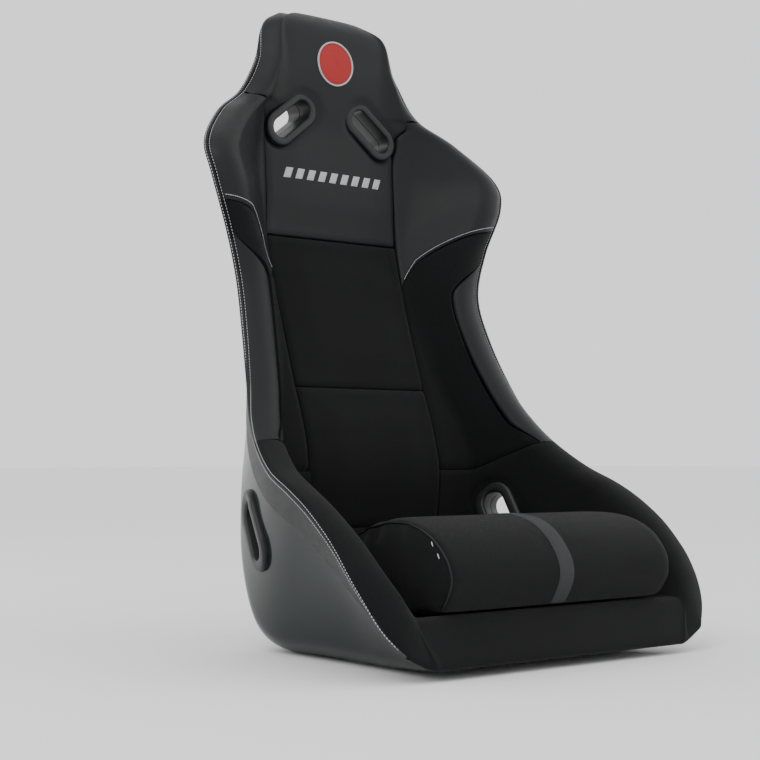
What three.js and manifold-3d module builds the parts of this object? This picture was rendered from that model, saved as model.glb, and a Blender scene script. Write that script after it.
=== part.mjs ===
// Fixed-back motorsport bucket seat: a moulded shell lined with glued foam pads, edge wraps,
// belt-slot bezels, base inserts and a loose roll cushion held by hook-and-loop strips.
// Millimetres, +Z up, the seat faces -Y, origin at the bottom centre of the bounding box.
import * as THREE from 'three';
import { mergeVertices } from 'three/addons/utils/BufferGeometryUtils.js';
import Module from 'manifold-3d';

// ---- driving dimensions ----------------------------------------------------------------
const SEAT_HEIGHT = 903;            // base to the shell's top edge
const SEAT_WIDTH = 584;             // across the thigh rims of the shell
const SEAT_DEPTH = 517;             // shell back to the shell's front edge
const LAMINATE = 4;                 // shell wall
const FIT_GAP = 0.3;                // between pieces that touch
const GLUE_LINE = 2;                // adhesive and felt between the shell and what covers it
const SEAM_GAP = 1;                 // between neighbouring pads
const PAD_EDGE = 6;                 // pad thickness left at a rolled edge
const RIM_ROLL = 26;                // length over which a pad rolls down to the rim
const PANEL_HALF_WIDTH = 118;       // centre panels, seam to centre line
const WRAP_THICKNESS = 3.5;
const HEAD_WRAP_WIDTH = 34;
// Width of the edge wrap at stations from the head to the lip
const WRAP_WIDTHS = [[0, 30], [3, 40], [6, 60], [11, 68], [14, 62], [17, 48], [19, 26], [20, 12]];
const SHOULDER_SLOT = { length: 78, width: 28, wall: 4, flange: 8, flangeThickness: 6 };
const LAP_SLOT = { length: 80, width: 33, wall: 4, flange: 12, flangeThickness: 7 };
const BEZEL_BED = 4;                // depth to which an inner flange is let into its pad
const CUSHION_REAR_HALF_WIDTH = 168;
const CUSHION_FRONT_HALF_WIDTH = 197;
const CUSHION_WALL_HALF_WIDTH = 244; // shell wall beside the cushion
const STRIP_THICKNESS = 1.6;        // hook and loop strips
const STRIP_HALF_WIDTH = 25;
const STRIP_CENTRE = 85;            // from the centre line
const STRIP_START = 16;             // stations between which the strips lie
const STRIP_END = 17.6;
const BAND_WIDTH = 25;
const BAND_THICKNESS = 1.2;
const INSERT = { radius: 9, plateRadius: 20, plateThickness: 3, boreRadius: 3.4, pocket: 1 };
const INSERT_HALF_SPACING = 130;    // across the seat
const BASE_HALF_WIDTH = 196;        // of the flat base, to its outside corner
const INSERT_REAR = 212;            // forward of the shell's back
const INSERT_FRONT = 362;

// ---- the seat's form --------------------------------------------------------------------
// Stations run from the head down the back and along the base to the lip. Each one has the
// shell's centre line (cu forward, cz up), its rim (rx out, ru forward, rz up), the outside
// corner xc with its fillet, and the lining's thickness at the centre (tc) and sides (tw).
const FORM_HEIGHT = 903;
const FORM_WIDTH = 584;
const FORM_DEPTH = 517;
const FORM = [
  { cu: -12, cz: 903, rx: 84, ru: 0, rz: 903, xc: 50, r: 40, tc: 34, tw: 22 },
  { cu: -24, cz: 876, rx: 109, ru: 4, rz: 876, xc: 62, r: 60, tc: 48, tw: 26 },
  { cu: -27, cz: 826, rx: 123, ru: 12, rz: 824, xc: 75, r: 80, tc: 54, tw: 30 },
  { cu: -27, cz: 775, rx: 155, ru: 21, rz: 772, xc: 90, r: 100, tc: 50, tw: 32 },
  { cu: -26, cz: 730, rx: 212, ru: 50, rz: 731, xc: 112, r: 110, tc: 44, tw: 32 },
  { cu: -24, cz: 680, rx: 258, ru: 86, rz: 678, xc: 128, r: 110, tc: 46, tw: 32 },
  { cu: -20, cz: 630, rx: 256, ru: 100, rz: 632, xc: 138, r: 100, tc: 45, tw: 34 },
  { cu: -10, cz: 565, rx: 229, ru: 94, rz: 563, xc: 142, r: 90, tc: 36, tw: 36 },
  { cu: 6, cz: 495, rx: 213, ru: 95, rz: 495, xc: 147, r: 80, tc: 40, tw: 38 },
  { cu: 22, cz: 430, rx: 219, ru: 117, rz: 425, xc: 151, r: 75, tc: 47, tw: 38 },
  { cu: 37, cz: 355, rx: 236, ru: 152, rz: 351, xc: 158, r: 70, tc: 58, tw: 38 },
  { cu: 46, cz: 280, rx: 252, ru: 180, rz: 307, xc: 173, r: 70, tc: 72, tw: 38 },
  { cu: 50, cz: 195, rx: 266, ru: 214, rz: 272, xc: 186, r: 65, tc: 86, tw: 38 },
  { cu: 60, cz: 100, rx: 280, ru: 262, rz: 239, xc: 192, r: 60, tc: 74, tw: 38 },
  { cu: 98, cz: 22, rx: 287, ru: 310, rz: 217, xc: 195, r: 55, tc: 40, tw: 38 },
  { cu: 165, cz: 0, rx: 290, ru: 350, rz: 195, xc: 196, r: 55, tc: 35, tw: 38 },
  { cu: 260, cz: 0, rx: 292, ru: 392, rz: 164, xc: 197, r: 60, tc: 45, tw: 38 },
  { cu: 350, cz: 0, rx: 292, ru: 425, rz: 130, xc: 198, r: 60, tc: 60, tw: 38 },
  { cu: 420, cz: 4, rx: 287, ru: 452, rz: 95, xc: 204, r: 50, tc: 68, tw: 38 },
  { cu: 465, cz: 9, rx: 276, ru: 472, rz: 62, xc: 211, r: 36, tc: 60, tw: 34 },
  { cu: 490, cz: 14, rx: 255, ru: 488, rz: 34, xc: 215, r: 18, tc: 34, tw: 24 },
];
const FORM_BACK = -27;              // rearmost forward value in the table
const WIDE = SEAT_WIDTH / FORM_WIDTH;
const TALL = SEAT_HEIGHT / FORM_HEIGHT;
const DEEP = SEAT_DEPTH / FORM_DEPTH;
const LAST = FORM.length - 1;
const ARC_START = 0.45;             // section fractions: flat, corner arc, side wall, rim roll
const ARC_END = 0.68;
const ROLL_START = 0.88;
const TOP_ROLL = 1.2;               // stations over which the lining rolls down to the top edge
const LIP_ROLL = 0.9;               // and to the front lip

// Seam positions along the stations
const SEAM_HEAD_SIDE = 3.1;         // head pad meets the shoulder pad at the rim
const SEAM_HEAD_BACK = 6.9;         // head pad to back panel
const SEAM_SHOULDER_RIM = 6.5;      // shoulder leather to bolster fabric at the rim
const SEAM_SHOULDER_INNER = 7.8;    // the same seam beside the back panel
const SEAM_BACK_LUMBAR = 10;
const SEAM_LUMBAR_LINER = 12.8;
const SEAM_BOLSTER_THIGH = 11.9;
const SEAM_LIP = 18.4;
const RIM_PANEL_START = 7;
const RIM_PANEL_TAPER = 0.4;        // share of its width that the rim panel loses at its lower end

const SHOULDER_SLOT_PLACE = { station: 3.72, across: 75.5, slant: -38 };
const LAP_SLOT_PLACE = { station: 13.08, fraction: 0.8, slant: -58 };

// Cushion outline in side view above the liner, forward and up, from the rear to the front
const CUSHION_TOP = [[199, 92], [209, 112], [252, 137], [312, 163], [367, 178], [417, 183],
  [462, 178], [497, 160], [518, 136], [524, 120]];
const CUSHION_FRONT_BOTTOM = [[512, 84], [524, 106]];
const CUSHION_SLACK = 0.7;          // above the two strips and their gaps
const CUSHION_START = 15.15;        // stations between which the cushion lies
const CUSHION_END = 19.15;

// ---- form functions ---------------------------------------------------------------------
function smooth(values, s) {
  const i = Math.min(Math.max(Math.floor(s), 0), values.length - 2);
  const t = s - i;
  const slope = (k) => {
    if (k === 0) return values[1] - values[0];
    if (k === values.length - 1) return values[k] - values[k - 1];
    const before = values[k] - values[k - 1];
    const after = values[k + 1] - values[k];
    return before === 0 || after === 0 ? 0 : (before + after) / 2;
  };
  const t2 = t * t;
  const t3 = t2 * t;
  return (2 * t3 - 3 * t2 + 1) * values[i] + (t3 - 2 * t2 + t) * slope(i)
    + (3 * t2 - 2 * t3) * values[i + 1] + (t3 - t2) * slope(i + 1);
}

const columns = Object.fromEntries(Object.keys(FORM[0]).map((k) => [k, FORM.map((row) => row[k])]));

function station(s) {
  const v = Object.fromEntries(Object.entries(columns).map(([k, list]) => [k, smooth(list, s)]));
  return {
    x: v.rx * WIDE, xc: v.xc * WIDE, r: v.r * WIDE, tc: v.tc, tw: v.tw,
    cu: (v.cu - FORM_BACK) * DEEP, cz: v.cz * TALL,
    ru: (v.ru - FORM_BACK) * DEEP, rz: v.rz * TALL,
  };
}

// Point of a section: floor and wall are the depths of the layer inside the shell's outside.
function sectionPoint(s, f, floor, wall, rollDepth = null) {
  const a = station(s);
  const height = Math.hypot(a.ru - a.cu, a.rz - a.cz);
  const along = [(a.ru - a.cu) / height, (a.rz - a.cz) / height];
  const length = Math.hypot(a.x - a.xc, height);
  const dx = (a.x - a.xc) / length;
  const dh = height / length;
  const endX = a.x - dh * wall;
  const endH = height + dx * wall;
  const run = (endH - floor) / dh;
  const cornerX = endX - dx * run;
  const turn = Math.acos(dx);
  const wanted = Math.max(a.r - (floor + wall) / 2, 10) * Math.tan(turn / 2);
  const tangent = Math.min(wanted, 0.9 * cornerX, 0.9 * run);
  const radius = tangent / Math.tan(turn / 2);
  const g = Math.abs(f);
  let x = (cornerX - tangent) * (g / ARC_START);
  let h = floor;
  if (g > ARC_START && g <= ARC_END) {
    const angle = turn * (g - ARC_START) / (ARC_END - ARC_START);
    x = cornerX - tangent + radius * Math.sin(angle);
    h = floor + radius * (1 - Math.cos(angle));
  } else if (g > ARC_END) {
    const roll = rollDepth === null ? 0 : Math.min(RIM_ROLL, 0.8 * (run - tangent));
    const start = rollDepth === null ? 1 : ROLL_START;
    const share = (g - ARC_END) / (start - ARC_END);
    let q = tangent + (run - tangent - roll) * (roll ? Math.min(share, 1) : share);
    let sink = 0;
    if (roll && g > start) {
      const angle = (g - start) / (1 - start) * Math.PI / 2;
      q += roll * Math.sin(angle);
      sink = (wall - rollDepth) * (1 - Math.cos(angle));
    }
    x = cornerX + dx * q + dh * sink;
    h = floor + dh * q - dx * sink;
  }
  return new THREE.Vector3(Math.sign(f) * x, -(a.cu + along[0] * h), a.cz + along[1] * h);
}

const shellPoint = (depth) => (s, f) => sectionPoint(s, f, depth, depth);

function endRoll(s) {
  const top = Math.min(s / TOP_ROLL, 1);
  const lip = Math.min((LAST - s) / LIP_ROLL, 1);
  return Math.sqrt(1 - (1 - top) ** 2) * Math.sqrt(1 - (1 - lip) ** 2);
}

function liningPoint(s, f, extra = 0) {
  const a = station(s);
  const edge = LAMINATE + PAD_EDGE;
  const roll = endRoll(s);
  const centre = edge + (a.tc - edge) * roll + extra;
  const side = edge + (a.tw - edge) * roll + extra;
  return sectionPoint(s, f, centre, side, edge);
}

function fractionAt(x, s, layer) {
  let low = 0;
  let high = 1;
  for (let k = 0; k < 30; k += 1) {
    const middle = (low + high) / 2;
    if (layer(s, middle).x < x) low = middle; else high = middle;
  }
  return (low + high) / 2;
}

const ease = (t) => { const c = Math.min(Math.max(t, 0), 1); return c * c * (3 - 2 * c); };

// Fraction of the seam between the centre pads and the side pads
function centreSeam(s) {
  if (s <= SEAM_HEAD_SIDE) return 1;
  const panel = fractionAt(PANEL_HALF_WIDTH * WIDE, s, liningPoint);
  const flare = (1 - Math.min((s - SEAM_HEAD_SIDE) / 1.1, 1)) ** 3;
  const base = ease((s - SEAM_LUMBAR_LINER) / 0.8);
  return (panel + (1 - panel) * flare) * (1 - base) + (ARC_START - 0.01) * base;
}

// ---- solids -----------------------------------------------------------------------------
const wasm = await Module();
wasm.setup();
const half = SEAM_GAP / 2;
const BACK_STATIONS = 14;           // stations over the seat's height
const gapS = half * BACK_STATIONS / SEAT_HEIGHT;
const S_KNOTS = [SEAM_HEAD_BACK - gapS, SEAM_LUMBAR_LINER, SEAM_LIP, SEAM_SHOULDER_RIM];
for (let s = 0; s <= LAST; s += 1) S_KNOTS.push(s);
S_KNOTS.push(0.2, 0.5, 3.25, 3.5, 13.5, 14.5, STRIP_END, LAST - 0.5, LAST - 0.2);
S_KNOTS.sort((a, b) => a - b);
const F_KNOTS = [0, ARC_START, 0.525, 0.6, ARC_END, ROLL_START, 0.93, 1];
const OVERRUN = 0.04;               // cutters run this far past the rim, in fractions and stations

const KNOT_MARGIN = 0.02;           // knots closer than this to a limit are left out
const between = (knots, low, high) => {
  const inside = knots.filter((k) => k > low + KNOT_MARGIN && k < high - KNOT_MARGIN);
  return [low, ...inside, high];
};

function toManifold(geometry) {
  const bare = geometry.clone();
  for (const name of Object.keys(bare.attributes)) if (name !== 'position') bare.deleteAttribute(name);
  const merged = mergeVertices(bare, 1e-4);
  return new wasm.Manifold(new wasm.Mesh({
    numProp: 3,
    vertProperties: new Float32Array(merged.attributes.position.array),
    triVerts: new Uint32Array(merged.index.array),
  }));
}

// Closed solid between two layers of points, given as grids of equal size. Columns before
// the middle one take the other diagonal, so that the left side mirrors the right.
function slab(back, front, middle = 0) {
  const rows = back.length;
  const cols = back[0].length;
  const positions = [];
  for (const p of [back, front].flat(2)) positions.push(p.x, p.y, p.z);
  const at = (layer, i, j) => (layer * rows + i) * cols + j;
  const index = [];
  const quad = (a, b, c, d, other = false) => {
    if (other) index.push(a, b, d, b, c, d); else index.push(a, b, c, a, c, d);
  };
  for (let i = 0; i < rows - 1; i += 1) {
    for (let j = 0; j < cols - 1; j += 1) {
      quad(at(0, i, j), at(0, i, j + 1), at(0, i + 1, j + 1), at(0, i + 1, j), j < middle);
      quad(at(1, i, j), at(1, i + 1, j), at(1, i + 1, j + 1), at(1, i, j + 1), j < middle);
    }
  }
  for (let i = 0; i < rows - 1; i += 1) {
    quad(at(0, i, 0), at(0, i + 1, 0), at(1, i + 1, 0), at(1, i, 0));
    quad(at(0, i, cols - 1), at(1, i, cols - 1), at(1, i + 1, cols - 1), at(0, i + 1, cols - 1));
  }
  for (let j = 0; j < cols - 1; j += 1) {
    quad(at(0, 0, j), at(1, 0, j), at(1, 0, j + 1), at(0, 0, j + 1));
    quad(at(0, rows - 1, j), at(0, rows - 1, j + 1), at(1, rows - 1, j + 1), at(1, rows - 1, j));
  }
  return closedGeometry(positions, index);
}

// The faces are turned over where the grid runs the other way round.
function closedGeometry(positions, index) {
  const corner = (k) => new THREE.Vector3().fromArray(positions, index[k] * 3);
  let volume = 0;
  for (let k = 0; k < index.length; k += 3) volume += corner(k).dot(corner(k + 1).cross(corner(k + 2)));
  if (volume < 0) index.reverse();
  const geometry = new THREE.BufferGeometry();
  geometry.setAttribute('position', new THREE.Float32BufferAttribute(positions, 3));
  geometry.setIndex(index);
  return geometry;
}

// A piece of the form between stations and section fractions; the limits may be functions.
function patch({ start, end, inner, outer, back, front }) {
  const value = (limit, at) => (typeof limit === 'function' ? limit(at) : limit);
  const inside = 0.5 * (value(inner, value(start, 0.8)) + value(outer, value(start, 0.8)));
  const stations = between(S_KNOTS, value(start, inside), value(end, inside));
  const first = stations[0];
  const last = stations[stations.length - 1];
  const knots = F_KNOTS.flatMap((f) => (f ? [-f, f] : [f])).sort((a, b) => a - b);
  const across = between(knots, value(inner, (first + last) / 2), value(outer, (first + last) / 2));
  const low = across[0];
  const high = across[across.length - 1];
  const grid = (layer) => stations.map((s) => across.map((f) => {
    const v = (f - low) / (high - low);
    const from = value(start, v);
    const to = value(end, v);
    const row = from + (to - from) * (s - first) / (last - first);
    const left = value(inner, row);
    const right = value(outer, row);
    return layer(row, left + (right - left) * v);
  }));
  return slab(grid(back), grid(front), across.indexOf(0));
}

function toGeometry(solid) {
  const mesh = solid.getMesh();
  const geometry = new THREE.BufferGeometry();
  geometry.setAttribute('position', new THREE.Float32BufferAttribute(mesh.vertProperties, 3));
  geometry.setIndex([...mesh.triVerts]);
  return geometry;
}

function mirrored(geometry) {
  const copy = geometry.clone().scale(-1, 1, 1);
  copy.setIndex([...geometry.index.array].reverse());
  return copy;
}

const SLOT_SEGMENTS = 5;            // of each rounded end
// Rounded slot outline, extruded from low to high along the frame's third axis.
function slotPrism(length, width, low, high, frame) {
  const half = (length - width) / 2;
  const outline = new THREE.Shape();
  outline.moveTo(-half, -width / 2);
  outline.absarc(half, 0, width / 2, -Math.PI / 2, Math.PI / 2, false);
  outline.absarc(-half, 0, width / 2, Math.PI / 2, 1.5 * Math.PI, false);
  const extrusion = { depth: high - low, bevelEnabled: false, curveSegments: SLOT_SEGMENTS };
  const prism = new THREE.ExtrudeGeometry(outline, extrusion);
  return toManifold(prism.translate(0, 0, low).applyMatrix4(frame));
}

function slotFrame(s, f, heading) {
  const outside = sectionPoint(s, f, 0, 0);
  const normal = sectionPoint(s, f, 20, 20).sub(outside).normalize();
  const long = heading.clone().addScaledVector(normal, -heading.dot(normal)).normalize();
  const short = new THREE.Vector3().crossVectors(normal, long);
  return new THREE.Matrix4().makeBasis(long, short, normal).setPosition(outside);
}

const radians = THREE.MathUtils.degToRad;
const shoulderAcross = SHOULDER_SLOT_PLACE.across * WIDE;
const shoulderFraction = fractionAt(shoulderAcross, SHOULDER_SLOT_PLACE.station, shellPoint(0));
const shoulderTilt = radians(SHOULDER_SLOT_PLACE.slant);
const shoulderFrame = slotFrame(SHOULDER_SLOT_PLACE.station, shoulderFraction,
  new THREE.Vector3(Math.cos(shoulderTilt), 0, Math.sin(shoulderTilt)));
const lapTilt = radians(LAP_SLOT_PLACE.slant);
const lapFrame = slotFrame(LAP_SLOT_PLACE.station, LAP_SLOT_PLACE.fraction,
  new THREE.Vector3(0, -Math.cos(lapTilt), Math.sin(lapTilt)));

const lapSection = station(LAP_SLOT_PLACE.station);
const shoulderSection = station(SHOULDER_SLOT_PLACE.station);
const SLOTS = [
  { side: 'shoulder', size: SHOULDER_SLOT, frame: shoulderFrame, depth: shoulderSection.tc },
  { side: 'lap', size: LAP_SLOT, frame: lapFrame, depth: lapSection.tw },
];
const REACH = 60;                   // how far a slot's cutter runs past the surfaces

function slotSolids({ size, frame, depth }) {
  const collarLength = size.length + 2 * size.wall;
  const collarWidth = size.width + 2 * size.wall;
  const flangeLength = collarLength + 2 * size.flange;
  const flangeWidth = collarWidth + 2 * size.flange;
  const prism = (grow, low, high) => (
    slotPrism(collarLength + 2 * grow, collarWidth + 2 * grow, low, high, frame));
  const opening = slotPrism(size.length, size.width, -REACH, depth + REACH, frame);
  const meet = LAMINATE + (depth - LAMINATE) / 2;
  const bed = depth - BEZEL_BED;
  const flange = (low, high) => slotPrism(flangeLength, flangeWidth, low, high, frame);
  return {
    outer: flange(-size.flangeThickness, 1).subtract(shellOutsideCutter)
      .add(prism(0, -size.flangeThickness / 2, meet - FIT_GAP)).subtract(opening),
    inner: flange(bed + FIT_GAP, depth + size.flangeThickness - BEZEL_BED / 2)
      .add(prism(0, meet, bed + size.flangeThickness / 2)).subtract(opening),
    shellCut: prism(FIT_GAP, -REACH, REACH),
    padCut: prism(FIT_GAP, -REACH, depth + REACH)
      .add(slotPrism(flangeLength + 2 * FIT_GAP, flangeWidth + 2 * FIT_GAP, bed, depth + REACH, frame)),
  };
}

const whole = { start: 0, end: LAST, inner: -1, outer: 1 };
const pastRim = { start: -OVERRUN, end: LAST + OVERRUN, inner: -1 - OVERRUN, outer: 1 + OVERRUN };
const shellOutsideCutter = toManifold(patch({
  ...pastRim, back: shellPoint(-FIT_GAP), front: shellPoint(LAMINATE + LAP_SLOT.flangeThickness) }));
const slots = SLOTS.map((slot) => ({ ...slot, ...slotSolids(slot) }));

const bothSides = (solid) => [solid, toManifold(mirrored(toGeometry(solid)))];

// ---- base inserts -----------------------------------------------------------------------
const insertPlaces = [];
for (const side of [-1, 1]) {
  for (const forward of [INSERT_REAR, INSERT_FRONT]) {
    insertPlaces.push([side * (INSERT_HALF_SPACING + (WIDE - 1) * BASE_HALF_WIDTH), -forward * DEEP]);
  }
}

function roundBar(radius, low, high, [x, y], segments = 14) {
  const bar = new THREE.CylinderGeometry(radius, radius, high - low, segments).rotateX(Math.PI / 2);
  return toManifold(bar.translate(x, y, (low + high) / 2));
}

const plateLow = LAMINATE + FIT_GAP;
const plateHigh = plateLow + INSERT.plateThickness;

function insertSolid(place) {
  return roundBar(INSERT.radius, 0, plateLow + 1, place)
    .add(roundBar(INSERT.plateRadius, plateLow, plateHigh, place))
    .subtract(roundBar(INSERT.boreRadius, -1, plateHigh + 1, place, 10));
}

// ---- shell, pads and wraps --------------------------------------------------------------
function shellSolid() {
  let shell = toManifold(patch({ ...whole, back: shellPoint(0), front: shellPoint(LAMINATE) }));
  for (const slot of slots) for (const cut of bothSides(slot.shellCut)) shell = shell.subtract(cut);
  for (const place of insertPlaces) {
    shell = shell.subtract(roundBar(INSERT.radius + FIT_GAP, -1, LAMINATE + 2, place));
  }
  return shell;
}

function pad(limits, cutSlots = [], cutInserts = false) {
  let solid = toManifold(patch({ ...limits, back: shellPoint(LAMINATE + GLUE_LINE), front: liningPoint }));
  for (const slot of cutSlots) for (const cut of bothSides(slot.padCut)) solid = solid.subtract(cut);
  if (cutInserts) {
    for (const place of insertPlaces) {
      solid = solid.subtract(roundBar(INSERT.plateRadius + FIT_GAP, 0, plateHigh + INSERT.pocket, place));
    }
  }
  return solid;
}

const sideStart = (s) => centreSeam(s) + half / PANEL_HALF_WIDTH;
const centreEdge = (s) => centreSeam(s) - (centreSeam(s) < 1 ? half / PANEL_HALF_WIDTH : 0);
const shoulderEnd = (v) => SEAM_SHOULDER_RIM + (SEAM_SHOULDER_INNER - SEAM_SHOULDER_RIM) * (1 - v) ** 1.5;
const panelEdge = (s) => {
  const narrowed = 1 - RIM_PANEL_TAPER * ease(s - SEAM_BOLSTER_THIGH + 1);
  return 1 - (1 - ROLL_START) * ease(s - RIM_PANEL_START) * narrowed;
};
const panelGap = 0.008;
const [shoulderSlot, lapSlot] = slots;

// Space below the seam that ends the shoulder leather, on the right-hand side
const belowShoulderSeam = (offset) => toManifold(patch({
  start: (v) => shoulderEnd(v) + offset, end: SEAM_BOLSTER_THIGH + 1,
  inner: (s) => centreSeam(s) - 0.1, outer: 1 + OVERRUN,
  back: shellPoint(-12), front: (s, f) => sectionPoint(s, f, 90, 90),
}));

const centreLimits = (start, end) => ({ start, end, inner: (s) => -centreEdge(s), outer: centreEdge });
const centrePad = (start, end, cuts, inserts) => pad(centreLimits(start, end), cuts, inserts);
const HEAD_PAD_LIMITS = centreLimits(0, SEAM_HEAD_BACK - gapS);

function wrap(start, end, width) {
  const inner = (s) => {
    const a = station(s);
    const wall = Math.hypot(a.x - a.xc, a.ru - a.cu, a.rz - a.cz);
    return Math.max(1 - (1 - ARC_END) * width(s) / wall, ARC_START + 0.02);
  };
  const back = shellPoint(-GLUE_LINE - WRAP_THICKNESS);
  return patch({ start, end, inner, outer: 1, back, front: shellPoint(-GLUE_LINE) });
}

const wrapWidth = (s) => {
  const k = WRAP_WIDTHS.findIndex(([at]) => at >= s);
  if (k <= 0) return WRAP_WIDTHS[0][1];
  const [[s0, w0], [s1, w1]] = [WRAP_WIDTHS[k - 1], WRAP_WIDTHS[k]];
  return w0 + (w1 - w0) * (s - s0) / (s1 - s0);
};
const headWrapEdge = (s) => {
  const a = station(s);
  const wall = Math.hypot(a.x - a.xc, a.ru - a.cu, a.rz - a.cz);
  return 1 - (1 - ARC_END) * wrapWidth(s) / wall - 0.02;
};
const topWrapEnd = HEAD_WRAP_WIDTH / (SEAT_HEIGHT - station(1).cz);

// ---- cushion ----------------------------------------------------------------------------
const cushionClearance = 2 * STRIP_THICKNESS + 3 * FIT_GAP + CUSHION_SLACK;

function cushionOutline() {
  const bottom = [];
  const deepened = (line) => line.map(([u, z]) => [u * DEEP, z]);
  const top = deepened(CUSHION_TOP);
  for (let s = CUSHION_START; s <= CUSHION_END; s += 0.5) {
    const p = liningPoint(s, 0, cushionClearance);
    bottom.push([-p.y, p.z]);
  }
  bottom[0][0] = top[0][0];
  return { bottom: [...bottom, ...deepened(CUSHION_FRONT_BOTTOM)], top };
}

function heightAt(line, forward) {
  const k = Math.max(line.findIndex(([u]) => u >= forward), 1);
  const [[u0, z0], [u1, z1]] = [line[k - 1], line[k]];
  return z0 + (z1 - z0) * (forward - u0) / (u1 - u0);
}

const CUSHION_SECTION = 20;         // points round a section
const CUSHION_POWER = 0.42;         // superellipse: small is squarer

function cushionRing(outline, forward, grow = 0) {
  const [rear] = outline.top[0];
  const [front] = outline.top[outline.top.length - 1];
  const share = Math.min((forward - rear) / (front - rear) * 1.25, 1);
  const flare = (CUSHION_FRONT_HALF_WIDTH - CUSHION_REAR_HALF_WIDTH) * share;
  const halfWidth = CUSHION_REAR_HALF_WIDTH + flare + (WIDE - 1) * CUSHION_WALL_HALF_WIDTH;
  const low = heightAt(outline.bottom, forward) - grow;
  const high = heightAt(outline.top, forward) + grow;
  const ring = [];
  for (let k = 0; k < CUSHION_SECTION; k += 1) {
    const angle = 2 * Math.PI * (k + 0.5) / CUSHION_SECTION;
    const c = Math.cos(angle);
    const d = Math.sin(angle);
    ring.push(new THREE.Vector3(
      halfWidth * Math.sign(c) * Math.abs(c) ** CUSHION_POWER,
      -forward,
      (low + high) / 2 + (high - low) / 2 * Math.sign(d) * Math.abs(d) ** CUSHION_POWER,
    ));
  }
  return ring;
}

function cushionGeometry() {
  const outline = cushionOutline();
  const slices = [...outline.top.map(([u]) => u)];
  const rings = slices.map((u) => cushionRing(outline, u));
  const positions = rings.flat().flatMap((p) => p.toArray());
  const index = [];
  const n = CUSHION_SECTION;
  for (let i = 0; i < rings.length - 1; i += 1) {
    for (let k = 0; k < n; k += 1) {
      const next = (k + 1) % n;
      const [a, b] = [i * n + k, i * n + next];
      index.push(a, a + n, b + n, a, b + n, b);
    }
  }
  const last = (rings.length - 1) * n;
  for (let k = 1; k < n - 1; k += 1) index.push(0, k, k + 1, last, last + k + 1, last + k);
  return closedGeometry(positions, index);
}

// The band lies over the top and the front of the cushion.
function bandGeometry() {
  const outline = cushionOutline();
  const path = [...outline.top.slice(1), ...outline.bottom.slice(-3).reverse()];
  const layer = (offset) => path.map(([u, z], i) => {
    const [pu, pz] = path[Math.max(i - 1, 0)];
    const [nu, nz] = path[Math.min(i + 1, path.length - 1)];
    const length = Math.hypot(nu - pu, nz - pz);
    const [du, dz] = [-(nz - pz) / length, (nu - pu) / length];
    const edges = [-BAND_WIDTH / 2, BAND_WIDTH / 2];
    return edges.map((x) => new THREE.Vector3(x, -(u + du * offset), z + dz * offset));
  });
  return slab(layer(FIT_GAP), layer(FIT_GAP + BAND_THICKNESS));
}

// ---- strips and patch -------------------------------------------------------------------
const stripAt = (s, x) => fractionAt(x, s, (row, f) => liningPoint(row, f));
function strip(side, low) {
  const edge = (x) => (s) => side * stripAt(s, x);
  return patch({
    start: STRIP_START, end: STRIP_END,
    inner: edge(STRIP_CENTRE - STRIP_HALF_WIDTH), outer: edge(STRIP_CENTRE + STRIP_HALF_WIDTH),
    back: (s, f) => liningPoint(s, f, low), front: (s, f) => liningPoint(s, f, low + STRIP_THICKNESS),
  });
}

const PATCH_RADIUS = 33;
const PATCH_STATION = 1.82;
const PATCH_THICKNESS = 1.5;
function patchDisc() {
  const centre = liningPoint(PATCH_STATION, 0);
  const disc = new THREE.CylinderGeometry(PATCH_RADIUS, PATCH_RADIUS, 40, 28);
  disc.translate(0, centre.y, centre.z);
  const edge = (s) => fractionAt(PATCH_RADIUS + 5, s, liningPoint);
  const skin = toManifold(patch({
    start: 0.9, end: 2.8, inner: (s) => -edge(s), outer: edge,
    back: (s, f) => liningPoint(s, f, -4), front: (s, f) => liningPoint(s, f, FIT_GAP + PATCH_THICKNESS),
  }));
  const padSpace = toManifold(patch({
    ...HEAD_PAD_LIMITS, back: shellPoint(LAMINATE - 1.5), front: (s, f) => liningPoint(s, f, FIT_GAP) }));
  return skin.intersect(toManifold(disc)).subtract(padSpace);
}

// ---- assembly ---------------------------------------------------------------------------
function finish(color, roughness, metalness = 0) {
  return new THREE.MeshStandardMaterial({ color, roughness, metalness });
}
const GELCOAT = finish(0x3b4141, 0.2);
const LEATHER = finish(0x2f3032, 0.45);
const FABRIC = finish(0x1f2022, 0.9);
const BEZEL = finish(0x363739, 0.4);
const BAND = finish(0x37383a, 0.8);
const STEEL = finish(0x9a9da0, 0.35, 1);
const STRIP = finish(0x141414, 0.95);
const EMBROIDERY = finish(0xb73130, 0.7);

const seat = new THREE.Group();

function add(name, shape, material) {
  const mesh = new THREE.Mesh(shape.isBufferGeometry ? shape : toGeometry(shape), material);
  mesh.name = name;
  seat.add(mesh);
}

function addPair(name, shape, material) {
  const right = shape.isBufferGeometry ? shape : toGeometry(shape);
  add(`${name}_right`, right, material);
  add(`${name}_left`, mirrored(right), material);
}

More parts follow.
